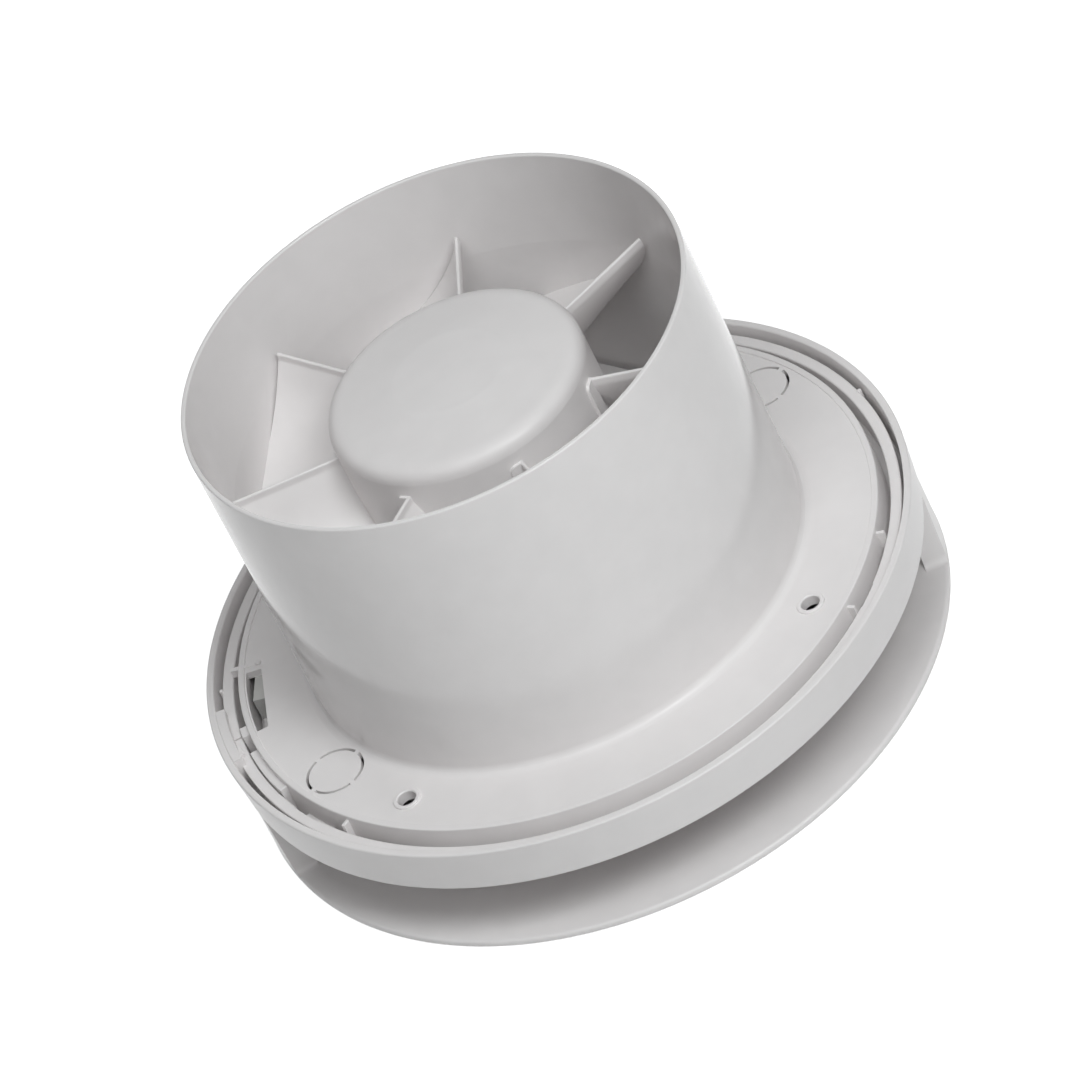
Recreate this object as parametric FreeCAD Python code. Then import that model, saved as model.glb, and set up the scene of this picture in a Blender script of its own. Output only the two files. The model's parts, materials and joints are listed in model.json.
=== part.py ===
"""Bathroom exhaust fan: an inline duct spigot with guide vanes, a clipped cover ring and a flat front panel.

Millimetres. +Z runs along the fan axis from the front panel to the mouth of the duct spigot. The origin is the
centre of the front panel's outer face. The two supports of the front panel stand on +X and -X.
"""
import FreeCAD, Part
import math
import os

# Whole fan
OVERALL_HEIGHT = 112.0
FRONT_EDGE_OF_COVER = 20.3
PLATE_BACK_HEIGHT = 32.2
OVERRUN = 5.0
TOUCH = 0.3

# Duct spigot and mounting plate
SPIGOT_OUTER_RADIUS = 62.4
MOUTH_WALL = 1.2
MOUTH_ROUND = 0.5
THROAT_WALL = 2.9
FLARE_LENGTH = 26.0
SPIGOT_FOOT_ROUND = 2.0
PLATE_THICKNESS = 2.0
PLATE_RADIUS = 80.1
PLATE_STEP_WIDTH = 0.9
PLATE_STEP_DROP = 0.4
RIM_WALL = 1.6
INLET_CHAMFER = 1.2

# Screw holes for the ceiling, at the corners of a rectangle
FIXING_EDGE_DISTANCE = 8.3
FIXING_HALF_ANGLE = 43.8
FIXING_HOLE_RADIUS = 2.3
FIXING_COLLAR_RADIUS = 3.4
FIXING_COLLAR_RISE = 0.6
FIXING_BOSS_LENGTH = 6.0

# Cable knockouts: a ring of four slots, joined by four bridges
KNOCKOUT_ANGLES = (26.7, 203.8)
KNOCKOUT_EDGE_DISTANCE = 9.0
KNOCKOUT_RADIUS = 6.95
KNOCKOUT_SLOT_WIDTH = 0.7
KNOCKOUT_BRIDGE_ANGLE = 11.0

# Wiring window in the plate's edge, with a rib and its pin at one end and a stop at the other
WINDOW_ANGLE = 173.6
WINDOW_HALF_ANGLE = 8.3
WINDOW_WIDTH = 4.1
WINDOW_EDGE_WIDTH = 1.3
WINDOW_RIB_ANGLE = 164.0
WINDOW_RIB_WIDTH = 1.2
WINDOW_RIB_RISE = 0.3
WINDOW_RIB_OVERLAP = 4.4
WINDOW_PIN_RADIUS = 0.8
WINDOW_PIN_RISE = 0.7
STOP_ANGLE = 183.9
STOP_HALF_ANGLE = 2.0
SHELF_ANGLE = 192.0
SHELF_HALF_ANGLE = 6.2
SHELF_DROP = 1.3

# Cover clips, three round the plate
CLIP_ANGLES = (86.0, 207.0, 325.1)
CLIP_HALF_ANGLE = 8.5
CLIP_TONGUE_HALF_ANGLE = 3.6
CLIP_TONGUE_REACH = 1.5
CLIP_TONGUE_DROP = 3.0
GUIDE_RIB_WIDTH = 0.9
GUIDE_RIB_DROP = 0.9
GUIDE_CLEARANCE = 0.6

# Cover ring
COVER_RISE = 0.4
COVER_TAPER = 1.0
COVER_WALL = 1.9
COVER_EDGE_ROUND = 0.5
COVER_FACE = 1.8
COVER_GROOVE_WIDTH = 1.4
INNER_RIM_GAP = 2.8
INNER_RIM_TOP_WIDTH = 2.9
INNER_RIM_FOOT_WIDTH = 1.7
INNER_RIM_DROP = 2.5
INLET_LIP_OVERLAP = 0.6
INLET_LIP_ROUND = 1.6
POCKET_DEPTH = 6.0
POCKET_DEEP_CUT = 1.7
POCKET_SHALLOW_CUT = 0.9
POCKET_DEEP_HALF_ANGLE = 4.3
POCKET_SHALLOW_HALF_ANGLE = 7.7
GROOVE_BLOCK_ANGLE = 179.7
GROOVE_BLOCK_HALF_ANGLE = 6.6
GROOVE_BLOCK_DROP = 0.3

# Front panel and its two supports
PANEL_INSET = 0.3
PANEL_THICKNESS = 2.0
PANEL_ROUND = 0.7
SUPPORT_FOOT_HALF_ANGLE = 13.0
SUPPORT_TOP_HALF_ANGLE = 9.6
SUPPORT_INSET = 0.35
SUPPORT_DEPTH = 5.4
SUPPORT_WALL = 1.5
PEG_RADIUS = 1.3
PEG_LENGTH = 1.2
PEG_BOSS_RADIUS = 2.2
PEG_ANGLE = 6.2

# Motor cup with guide vanes
CUP_RADIUS = 31.8
CUP_WALL = 1.7
CUP_SETBACK = 12.6
CUP_LENGTH = 33.4
CUP_CROWN = 1.2
CUP_ROUND = 3.6
VANE_COUNT = 7
VANE_FIRST_ANGLE = -27.0
VANE_DROP = 7.7
VANE_THICKNESS = 1.5
VANE_CAMBER_RADIUS = 52.0
VANE_TOP_SLOPE = 35.0
VANE_FOOT_SLOPE = 83.0
VANE_SINK = 0.6
VANE_LIP_WIDTH = 1.2
VANE_LIP_HEIGHT = 2.0
VANE_LIP_RISE = 1.2
VANE_TIP_GAP = 1.3
VANE_TIP_TAPER = 20.0
PILASTER_WIDTH = 2.5
PILASTER_RISE = 0.8

# Motor screws, mounts and brackets
SCREW_COUNT = 4
SCREW_FIRST_ANGLE = 45.0
SCREW_INSET = 2.6
SCREW_RADIUS = 1.5
SCREW_CLEARANCE = 0.1
SCREW_HEAD_RADIUS = 2.75
SCREW_HEAD_HEIGHT = 1.6
SCREW_SLOT_WIDTH = 0.8
SCREW_SLOT_DEPTH = 0.8
SCREW_BITE = 2.5
CUP_BOSS_RADIUS = 3.6
CUP_BOSS_DROP = 4.4
MOUNT_RADIUS = 3.9
MOUNT_HEIGHT = 2.0
BRACKET_THICKNESS = 2.0
BRACKET_GAP = 1.9
BRACKET_POST_RADIUS = 3.0
BRACKET_BOSS_WALL = 2.0
BRACKET_LIP = 0.5
BRACKET_LIP_RADIUS = 5.4
BRACKET_VENT_INNER_RADIUS = 12.5
BRACKET_VENT_OUTER_RADIUS = 20.0
BRACKET_VENT_HALF_ANGLE = 24.0

# Stator with four wound poles
CORE_INSET = 1.2
CORE_LENGTH = 12.0
YOKE_WIDTH = 4.0
STATOR_BORE_RADIUS = 14.3
POLE_COUNT = 4
POLE_WIDTH = 12.0
POLE_SHOE_DEPTH = 2.0
POLE_SHOE_HALF_ANGLE = 38.0
BOBBIN_WALL = 0.8
BOBBIN_LENGTH = 6.0
BOBBIN_CLEARANCE = 0.05
COIL_BUILD = 3.4
COIL_CORNER_ROUND = 3.0

# Rotor, shaft and bearings
AIR_GAP = 0.3
ROTOR_RING_HEIGHT = 1.7
ROTOR_RING_WIDTH = 4.0
SHAFT_RADIUS = 2.5
SHAFT_END_BEVEL = 0.4
SHAFT_UPPER_DROP = 4.4
SHAFT_STUB = 2.4
BEARING_RADIUS = 8.0
BEARING_WIDTH = 5.0
INNER_RACE_WALL = 1.6
OUTER_RACE_WALL = 1.4
RACE_ROUND = 0.3
BALL_CLEARANCE = 0.05
BALL_COUNT = 7
SPACER_WALL = 1.4

# Impeller
BLADE_COUNT = 6
HUB_INSET = 1.2
HUB_WALL = 1.6
HUB_NOSE_ROUND = 5.0
HUB_LENGTH = 26.5
HUB_FACE = 2.0
HUB_GAP = 1.5
HUB_BOSS_RADIUS = 6.0
HUB_BOSS_DROP = 4.5
HUB_RIB_WIDTH = 1.6
HUB_RIB_COUNT = 6
HUB_RIB_DROP = 10.5
BLADE_TIP_GAP = 1.3
BLADE_THICKNESS = 1.6
BLADE_MID_DROP = 14.5
BLADE_ROOT_SINK = 3.1
BLADE_ROOT_CHORD = 28.0
BLADE_ROOT_STAGGER = 35.0
BLADE_TIP_CHORD = 40.0
BLADE_TIP_STAGGER = 65.0
BLADE_CAMBER = 2.4
RETAINER_RADIUS = 5.5
RETAINER_THICKNESS = 0.8
CIRCLIP_RADIUS = 4.6
CIRCLIP_THICKNESS = 0.8
CIRCLIP_MOUTH = 2.4

# Terminal block and its cover
TERMINAL_ANGLE = 162.6
TERMINAL_COUNT = 3
TERMINAL_WIDTH = 25.0
TERMINAL_DEPTH = 9.0
TERMINAL_HEIGHT = 6.2
TERMINAL_INSET = 2.9
TERMINAL_RIDGE = 1.0
TERMINAL_ENTRY_RADIUS = 1.7
CLAMP_TUBE_RADIUS = 2.2
CLAMP_TUBE_LENGTH = 6.6
TERMINAL_SCREW_RADIUS = 1.1
TERMINAL_SCREW_BITE = 0.9
LID_THICKNESS = 1.0
LID_FIRST_ANGLE = 151.0
LID_LAST_ANGLE = 200.0
LID_INNER_GAP = 1.6
LID_OUTER_GAP = 0.5
LID_SCREW_ANGLE = 196.5
LID_SCREW_INSET = 3.0
LID_SCREW_RADIUS = 1.2
LID_SCREW_HEAD_RADIUS = 2.2
LID_SCREW_HEAD_SINK = 0.6
SMALL_BOSS_RADIUS = 2.4

# Cable clamp
STRAP_ANGLE = 190.0
STRAP_LENGTH = 13.5
STRAP_WIDTH = 5.0
STRAP_THICKNESS = 1.6
STRAP_RISE = 1.6
STRAP_SCREW_DISTANCE = 9.6
STRAP_SCREW_RADIUS = 1.2
STRAP_SCREW_HEAD_RADIUS = 1.9
STRAP_SCREW_HEAD_HEIGHT = 1.2

# Motor leads
LEAD_RADIUS = 0.75
LEAD_SPACING = 2.0
LEAD_CLEARANCE = 0.1
LEAD_ANGLE = 162.8
LEAD_BEND_RADIUS = 4.0
LEAD_WALL_GAP = 0.25
LEAD_START_RISE = 13.0
LEAD_RUN_RISE = 2.0
LEAD_RUN_NOTCH = 3.5
LEAD_GROOVE_WIDTH = 4.4
LEAD_GROOVE_DEPTH = 1.9
LEAD_EXIT_DROP = 3.6
LEAD_NOTCH_HEIGHT = 3.0

UP = FreeCAD.Vector(0, 0, 1)
ORIGIN = FreeCAD.Vector(0, 0, 0)
FULL_TURN = 360.0

# Radii that follow from the sizes above
THROAT_RADIUS = SPIGOT_OUTER_RADIUS - THROAT_WALL
RIM_INNER_RADIUS = PLATE_RADIUS - RIM_WALL
FIXING_CIRCLE_RADIUS = PLATE_RADIUS - FIXING_EDGE_DISTANCE
KNOCKOUT_CIRCLE_RADIUS = PLATE_RADIUS - KNOCKOUT_EDGE_DISTANCE
WINDOW_OUTER_RADIUS = PLATE_RADIUS - WINDOW_EDGE_WIDTH
WINDOW_INNER_RADIUS = WINDOW_OUTER_RADIUS - WINDOW_WIDTH
INNER_RIM_RADIUS = PLATE_RADIUS + INNER_RIM_GAP
COVER_BACK_RADIUS = INNER_RIM_RADIUS + INNER_RIM_TOP_WIDTH + COVER_GROOVE_WIDTH + COVER_WALL
COVER_FRONT_RADIUS = COVER_BACK_RADIUS - COVER_TAPER
INLET_LIP_RADIUS = THROAT_RADIUS - INLET_LIP_OVERLAP
PANEL_RADIUS = COVER_FRONT_RADIUS - PANEL_INSET
SUPPORT_OUTER_RADIUS = COVER_FRONT_RADIUS - SUPPORT_INSET
PEG_CIRCLE_RADIUS = SUPPORT_OUTER_RADIUS - SUPPORT_DEPTH / 2
BRACKET_RADIUS = CUP_RADIUS - CUP_WALL - BRACKET_GAP
CORE_RADIUS = BRACKET_RADIUS - CORE_INSET
SCREW_CIRCLE_RADIUS = CORE_RADIUS - SCREW_INSET
BOBBIN_START = CORE_RADIUS - YOKE_WIDTH - TOUCH - BOBBIN_LENGTH
ROTOR_RADIUS = STATOR_BORE_RADIUS - AIR_GAP
HUB_RADIUS = CUP_RADIUS - HUB_INSET
BLADE_ROOT_RADIUS = HUB_RADIUS - BLADE_ROOT_SINK
BLADE_TIP_RADIUS = THROAT_RADIUS - BLADE_TIP_GAP
TERMINAL_MID_RADIUS = PLATE_RADIUS - TERMINAL_INSET - TERMINAL_DEPTH / 2
LID_INNER_RADIUS = SPIGOT_OUTER_RADIUS + LID_INNER_GAP
LID_OUTER_RADIUS = RIM_INNER_RADIUS - LID_OUTER_GAP
LID_SCREW_CIRCLE_RADIUS = LID_OUTER_RADIUS - LID_SCREW_INSET
STRAP_MID_RADIUS = (SPIGOT_OUTER_RADIUS + RIM_INNER_RADIUS) / 2
LEAD_START_RADIUS = CUP_RADIUS - CUP_WALL - LEAD_RADIUS - LEAD_WALL_GAP

# Heights that follow from the sizes above
PLATE_FRONT_HEIGHT = PLATE_BACK_HEIGHT - PLATE_THICKNESS
BACK_EDGE_OF_COVER = PLATE_BACK_HEIGHT + COVER_RISE
COVER_FLOOR_HEIGHT = FRONT_EDGE_OF_COVER + COVER_FACE
HOUSING_FOOT_HEIGHT = COVER_FLOOR_HEIGHT + TOUCH
FLARE_FOOT_HEIGHT = OVERALL_HEIGHT - FLARE_LENGTH
CUP_TOP_HEIGHT = OVERALL_HEIGHT - CUP_SETBACK
CUP_FOOT_HEIGHT = CUP_TOP_HEIGHT - CUP_LENGTH
CUP_BOSS_FOOT_HEIGHT = CUP_TOP_HEIGHT - CUP_BOSS_DROP
VANE_TOP_HEIGHT = CUP_TOP_HEIGHT - VANE_DROP
SCREW_TIP_HEIGHT = CUP_BOSS_FOOT_HEIGHT + SCREW_BITE
UPPER_BRACKET_HEIGHT = CUP_BOSS_FOOT_HEIGHT - MOUNT_HEIGHT - BRACKET_THICKNESS
WOUND_POLE_HALF_WIDTH = POLE_WIDTH / 2 + BOBBIN_CLEARANCE + BOBBIN_WALL + COIL_BUILD
CORE_MID_HEIGHT = UPPER_BRACKET_HEIGHT - WOUND_POLE_HALF_WIDTH - SCREW_CLEARANCE
CORE_TOP_HEIGHT = CORE_MID_HEIGHT + CORE_LENGTH / 2
CORE_FOOT_HEIGHT = CORE_MID_HEIGHT - CORE_LENGTH / 2
LOWER_BRACKET_HEIGHT = 2 * CORE_MID_HEIGHT - UPPER_BRACKET_HEIGHT - BRACKET_THICKNESS
UPPER_BEARING_HEIGHT = CORE_TOP_HEIGHT + ROTOR_RING_HEIGHT + TOUCH + BRACKET_LIP
LOWER_BEARING_HEIGHT = CORE_FOOT_HEIGHT - ROTOR_RING_HEIGHT - TOUCH - BRACKET_LIP - BEARING_WIDTH
HUB_TOP_HEIGHT = CUP_FOOT_HEIGHT - HUB_GAP
HUB_NOSE_HEIGHT = HUB_TOP_HEIGHT - HUB_LENGTH
HUB_BOSS_TOP_HEIGHT = HUB_TOP_HEIGHT - HUB_BOSS_DROP
HUB_RIB_TOP_HEIGHT = HUB_TOP_HEIGHT - HUB_RIB_DROP
BLADE_MID_HEIGHT = HUB_TOP_HEIGHT - BLADE_MID_DROP
SHAFT_UPPER_END = CUP_TOP_HEIGHT - SHAFT_UPPER_DROP
SHAFT_LOWER_END = HUB_NOSE_HEIGHT - SHAFT_STUB
TERMINAL_SEAT_HEIGHT = PLATE_FRONT_HEIGHT - TERMINAL_HEIGHT
TERMINAL_AXIS_HEIGHT = TERMINAL_SEAT_HEIGHT + TERMINAL_HEIGHT / 2
LID_TOP_HEIGHT = TERMINAL_SEAT_HEIGHT
LEAD_START_HEIGHT = CUP_FOOT_HEIGHT + LEAD_START_RISE
LEAD_RUN_HEIGHT = CUP_FOOT_HEIGHT + LEAD_RUN_RISE
LEAD_EXIT_HEIGHT = PLATE_FRONT_HEIGHT - LEAD_EXIT_DROP


def at(x, y, z):
    """Return a point."""
    return FreeCAD.Vector(x, y, z)


def outline(corners):
    """Return a closed wire in the XZ plane. Each corner is x, z and the radius that rounds it."""
    points = [at(corner[0], 0, corner[1]) for corner in corners]
    entries = []
    middles = []
    exits = []
    for index, corner in enumerate(corners):
        here = points[index]
        back = (points[index - 1] - here).normalize()
        ahead = (points[(index + 1) % len(points)] - here).normalize()
        if corner[2] == 0:
            entries.append(here)
            middles.append(None)
            exits.append(here)
            continue
        half = back.getAngle(ahead) / 2
        reach = corner[2] / math.tan(half)
        bisector = (back + ahead).normalize()
        entries.append(here + back * reach)
        middles.append(here + bisector * (corner[2] / math.sin(half) - corner[2]))
        exits.append(here + ahead * reach)
    edges = []
    for index in range(len(corners)):
        if middles[index] is not None:
            edges.append(Part.Arc(entries[index], middles[index], exits[index]).toShape())
        follower = (index + 1) % len(corners)
        if not exits[index].isEqual(entries[follower], 1e-6):
            edges.append(Part.makeLine(exits[index], entries[follower]))
    return Part.Wire(edges)


def turned(corners):
    """Return the solid that the outline makes when it turns round the fan's axis."""
    return Part.Face(outline(corners)).revolve(ORIGIN, UP, FULL_TURN)


def around(shape, angle):
    """Return a copy of the shape turned round the fan's axis."""
    copy = shape.copy()
    copy.rotate(ORIGIN, UP, angle)
    return copy


def disc(radius, low, high, x=0, y=0):
    """Return an upright cylinder between two heights."""
    return Part.makeCylinder(radius, high - low, at(x, y, low), UP)


def tube(inner, outer, low, high, x=0, y=0):
    """Return an upright tube between two heights."""
    bore = disc(inner, low - OVERRUN, high + OVERRUN, x, y)
    return disc(outer, low, high, x, y).cut(bore)


def sector(inner, outer, low, high, middle_angle, half_angle):
    """Return the part of a flat ring that lies within half_angle of middle_angle."""
    wedge = Part.makeCylinder(outer, high - low, at(0, 0, low), UP, 2 * half_angle)
    wedge = wedge.cut(disc(inner, low - OVERRUN, high + OVERRUN))
    return around(wedge, middle_angle - half_angle)


def bar(inner, outer, low, high, width, angle):
    """Return a straight bar that runs outwards from radius inner to radius outer at an angle."""
    piece = Part.makeBox(outer - inner, width, high - low, at(inner, -width / 2, low))
    return around(piece, angle)


def turns(count, first_angle=0.0):
    """Return evenly spaced angles."""
    return [first_angle + FULL_TURN * index / count for index in range(count)]


def joined(shapes):
    """Return one solid made of shapes that touch."""
    whole = shapes[0].multiFuse(shapes[1:]) if len(shapes) > 1 else shapes[0]
    return whole.removeSplitter()


def group(shapes):
    """Return separate solids as one compound."""
    return Part.makeCompound([solid for shape in shapes for solid in shape.Solids])


# Duct bore, shared by the housing and by the ends of the guide vanes
def duct_bore():
    """Return the space inside the duct: a straight throat that opens in a slight cone to the mouth."""
    mouth = SPIGOT_OUTER_RADIUS - MOUTH_WALL
    above = OVERALL_HEIGHT + OVERRUN
    below = FRONT_EDGE_OF_COVER - OVERRUN
    return turned([
        (0, below, 0),
        (THROAT_RADIUS, below, 0),
        (THROAT_RADIUS, FLARE_FOOT_HEIGHT, 0),
        (mouth, OVERALL_HEIGHT, 0),
        (mouth, above, 0),
        (0, above, 0),
    ])


def knockout_slots():
    """Return the four arc slots of one knockout, standing on the X axis."""
    slots = []
    inner = KNOCKOUT_RADIUS - KNOCKOUT_SLOT_WIDTH / 2
    outer = KNOCKOUT_RADIUS + KNOCKOUT_SLOT_WIDTH / 2
    low = PLATE_FRONT_HEIGHT - OVERRUN
    high = PLATE_BACK_HEIGHT + OVERRUN
    sweep = FULL_TURN / 4 - KNOCKOUT_BRIDGE_ANGLE
    for quarter in turns(4, KNOCKOUT_BRIDGE_ANGLE / 2):
        slot = Part.makeCylinder(outer, high - low, at(0, 0, low), UP, sweep)
        slot = slot.cut(disc(inner, low - OVERRUN, high + OVERRUN))
        slot = around(slot, quarter)
        slot.translate(at(KNOCKOUT_CIRCLE_RADIUS, 0, 0))
        slots.append(slot)
    return slots


def fixing_places():
    """Return x and y of the four screw holes."""
    angles = (FIXING_HALF_ANGLE, FULL_TURN / 2 - FIXING_HALF_ANGLE, FULL_TURN / 2 + FIXING_HALF_ANGLE,
              -FIXING_HALF_ANGLE)
    return [polar(FIXING_CIRCLE_RADIUS, angle) for angle in angles]


def lead_points():
    """Return radius and height of the corners of a motor lead's route."""
    wall_run = THROAT_RADIUS + LEAD_RADIUS + LEAD_CLEARANCE
    block_face = TERMINAL_MID_RADIUS - TERMINAL_DEPTH / 2
    return [
        (LEAD_START_RADIUS, LEAD_START_HEIGHT),
        (LEAD_START_RADIUS, LEAD_RUN_HEIGHT),
        (wall_run, LEAD_RUN_HEIGHT),
        (wall_run, LEAD_EXIT_HEIGHT),
        (block_face, LEAD_EXIT_HEIGHT),
    ]


def duct_housing():
    """Spigot and mounting plate in one moulding, with screw bosses, knockouts and the wiring window."""
    step = PLATE_RADIUS - PLATE_STEP_WIDTH
    shell = turned([
        (THROAT_RADIUS - OVERRUN, HOUSING_FOOT_HEIGHT, 0),
        (SPIGOT_OUTER_RADIUS, HOUSING_FOOT_HEIGHT, 0),
        (SPIGOT_OUTER_RADIUS, PLATE_FRONT_HEIGHT, 0),
        (RIM_INNER_RADIUS, PLATE_FRONT_HEIGHT, 0),
        (RIM_INNER_RADIUS, HOUSING_FOOT_HEIGHT, 0),
        (PLATE_RADIUS, HOUSING_FOOT_HEIGHT, 0),
        (PLATE_RADIUS, PLATE_BACK_HEIGHT - PLATE_STEP_DROP, 0),
        (step, PLATE_BACK_HEIGHT - PLATE_STEP_DROP, 0),
        (step, PLATE_BACK_HEIGHT, 0),
        (SPIGOT_OUTER_RADIUS, PLATE_BACK_HEIGHT, SPIGOT_FOOT_ROUND),
        (SPIGOT_OUTER_RADIUS, OVERALL_HEIGHT, MOUTH_ROUND),
        (THROAT_RADIUS - OVERRUN, OVERALL_HEIGHT, 0),
    ])
    shell = shell.cut(duct_bore())
    inlet = Part.makeCone(THROAT_RADIUS + INLET_CHAMFER, THROAT_RADIUS, INLET_CHAMFER,
                          at(0, 0, HOUSING_FOOT_HEIGHT), UP)
    shell = shell.cut(inlet)

    added = []
    removed = []
    foot = PLATE_FRONT_HEIGHT - FIXING_BOSS_LENGTH
    for x, y in fixing_places():
        added.append(disc(FIXING_COLLAR_RADIUS, foot, PLATE_BACK_HEIGHT + FIXING_COLLAR_RISE, x, y))
        removed.append(disc(FIXING_HOLE_RADIUS, foot - OVERRUN, PLATE_BACK_HEIGHT + OVERRUN, x, y))

    guide_outer = INNER_RIM_RADIUS - GUIDE_CLEARANCE
    guide_top = PLATE_BACK_HEIGHT - GUIDE_RIB_DROP
    for angle in CLIP_ANGLES:
        for side in (-1, 1):
            place = angle + side * CLIP_HALF_ANGLE
            added.append(bar(RIM_INNER_RADIUS, guide_outer, HOUSING_FOOT_HEIGHT, guide_top, GUIDE_RIB_WIDTH, place))
        tongue_top = PLATE_BACK_HEIGHT - CLIP_TONGUE_DROP
        reach = PLATE_RADIUS + CLIP_TONGUE_REACH
        tongue = sector(RIM_INNER_RADIUS, reach, HOUSING_FOOT_HEIGHT, tongue_top, angle, CLIP_TONGUE_HALF_ANGLE)
        added.append(tongue)
    rib_inner = PLATE_RADIUS - WINDOW_RIB_OVERLAP
    rib_top = PLATE_BACK_HEIGHT + WINDOW_RIB_RISE
    added.append(bar(rib_inner, guide_outer, PLATE_FRONT_HEIGHT, rib_top, WINDOW_RIB_WIDTH, WINDOW_RIB_ANGLE))
    pin_x, pin_y = polar(rib_inner, WINDOW_RIB_ANGLE)
    added.append(disc(WINDOW_PIN_RADIUS, PLATE_FRONT_HEIGHT, PLATE_BACK_HEIGHT + WINDOW_PIN_RISE, pin_x, pin_y))
    added.append(sector(RIM_INNER_RADIUS, guide_outer, HOUSING_FOOT_HEIGHT, guide_top, STOP_ANGLE,
                        STOP_HALF_ANGLE))
    added.append(sector(RIM_INNER_RADIUS, guide_outer, HOUSING_FOOT_HEIGHT, PLATE_BACK_HEIGHT - SHELF_DROP,
                        SHELF_ANGLE, SHELF_HALF_ANGLE))

    lid_x, lid_y = polar(LID_SCREW_CIRCLE_RADIUS, LID_SCREW_ANGLE)
    added.append(disc(SMALL_BOSS_RADIUS, LID_TOP_HEIGHT, PLATE_FRONT_HEIGHT, lid_x, lid_y))
    strap_top = PLATE_FRONT_HEIGHT - STRAP_RISE
    for x, y in strap_screw_places():
        added.append(disc(SMALL_BOSS_RADIUS, strap_top, PLATE_FRONT_HEIGHT, x, y))
        removed.append(disc(STRAP_SCREW_RADIUS, strap_top - OVERRUN, PLATE_FRONT_HEIGHT, x, y))
    removed.append(disc(LID_SCREW_RADIUS, LID_TOP_HEIGHT - OVERRUN, PLATE_FRONT_HEIGHT, lid_x, lid_y))

    whole = joined([shell] + added)
    window = sector(WINDOW_INNER_RADIUS, WINDOW_OUTER_RADIUS, PLATE_FRONT_HEIGHT - TOUCH,
                    PLATE_BACK_HEIGHT + OVERRUN, WINDOW_ANGLE, WINDOW_HALF_ANGLE)
    removed.append(window)
    for angle in KNOCKOUT_ANGLES:
        removed.extend(around(slot, angle) for slot in knockout_slots())
    removed.append(bar(THROAT_RADIUS - OVERRUN, THROAT_RADIUS + LEAD_GROOVE_DEPTH, HOUSING_FOOT_HEIGHT - OVERRUN,
                       LEAD_RUN_HEIGHT + LEAD_RADIUS + LEAD_CLEARANCE, LEAD_GROOVE_WIDTH, LEAD_ANGLE))
    removed.append(bar(THROAT_RADIUS - OVERRUN, SPIGOT_OUTER_RADIUS + OVERRUN, HOUSING_FOOT_HEIGHT - OVERRUN,
                       LEAD_EXIT_HEIGHT + LEAD_NOTCH_HEIGHT, LEAD_GROOVE_WIDTH, LEAD_ANGLE))
    return whole.cut(Part.makeCompound(removed))


def polar(radius, angle):
    """Return x and y of a point at a radius and an angle."""
    turn = math.radians(angle)
    return radius * math.cos(turn), radius * math.sin(turn)


def cup_form(radius, foot, top, edge_round):
    """Return a solid cup form: a straight wall, a round edge and a domed top, with this height at its middle."""
    edge = top - CUP_CROWN
    knee = (radius - edge_round) / 2
    fall = math.atan(CUP_CROWN / (radius - knee))
    dome_radius = knee / math.tan(fall / 2)
    return turned([
        (0, foot, 0),
        (radius, foot, 0),
        (radius, edge, edge_round),
        (knee, top, dome_radius),
        (0, top, 0),
    ])


def cup_walls():
    """Return the motor cup: a domed lid with a round edge over a straight wall, open at its foot."""
    outside = cup_form(CUP_RADIUS, CUP_FOOT_HEIGHT, CUP_TOP_HEIGHT, CUP_ROUND)
    inside = cup_form(CUP_RADIUS - CUP_WALL, CUP_FOOT_HEIGHT - OVERRUN, CUP_TOP_HEIGHT - CUP_WALL,
                      CUP_ROUND - CUP_WALL)
    return outside.cut(inside)


def blade_wire(distance, angles, heights, thickness):
    """Return the closed section of a thin curved blade on the plane x = distance.

    The middle line passes through three points: distance times the tangent of each angle, at each height.
    """
    points = [at(distance, distance * math.tan(math.radians(a)), z) for a, z in zip(angles, heights)]
    along = [points[1] - points[0], points[2] - points[0], points[2] - points[1]]
    offsets = []
    for direction in along:
        direction.normalize()
        offsets.append(at(0, -direction.z, direction.y) * (thickness / 2))
    front = [point + offset for point, offset in zip(points, offsets)]
    rear = [point - offset for point, offset in zip(points, offsets)]
    return Part.Wire([
        Part.Arc(front[0], front[1], front[2]).toShape(),
        Part.makeLine(front[2], rear[2]),
        Part.Arc(rear[2], rear[1], rear[0]).toShape(),
        Part.makeLine(rear[0], front[0]),
    ])


def vane_travel(slope):
    """Return how far round, in degrees, and how far down a guide vane has come where it has this slope."""
    start = math.radians(VANE_TOP_SLOPE)
    here = math.radians(slope)
    sideways = VANE_CAMBER_RADIUS * (math.cos(start) - math.cos(here))
    down = VANE_CAMBER_RADIUS * (math.sin(here) - math.sin(start))
    return math.degrees(sideways / THROAT_RADIUS), down


def guide_vane():
    """Return one guide vane, whose top edge lies along the X axis, before it is trimmed to the duct."""
    slopes = (VANE_TOP_SLOPE, (VANE_TOP_SLOPE + VANE_FOOT_SLOPE) / 2, VANE_FOOT_SLOPE)
    travel = [vane_travel(slope) for slope in slopes]
    middle = travel[2][0] / 2
    angles = [turn - middle for turn, _ in travel]
    heights = [VANE_TOP_HEIGHT - down for _, down in travel]
    inner = blade_wire(CUP_RADIUS / 2, angles, heights, VANE_THICKNESS)
    outer = blade_wire(SPIGOT_OUTER_RADIUS, angles, heights, VANE_THICKNESS)
    return around(Part.makeLoft([inner, outer], True, True), middle)


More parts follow.
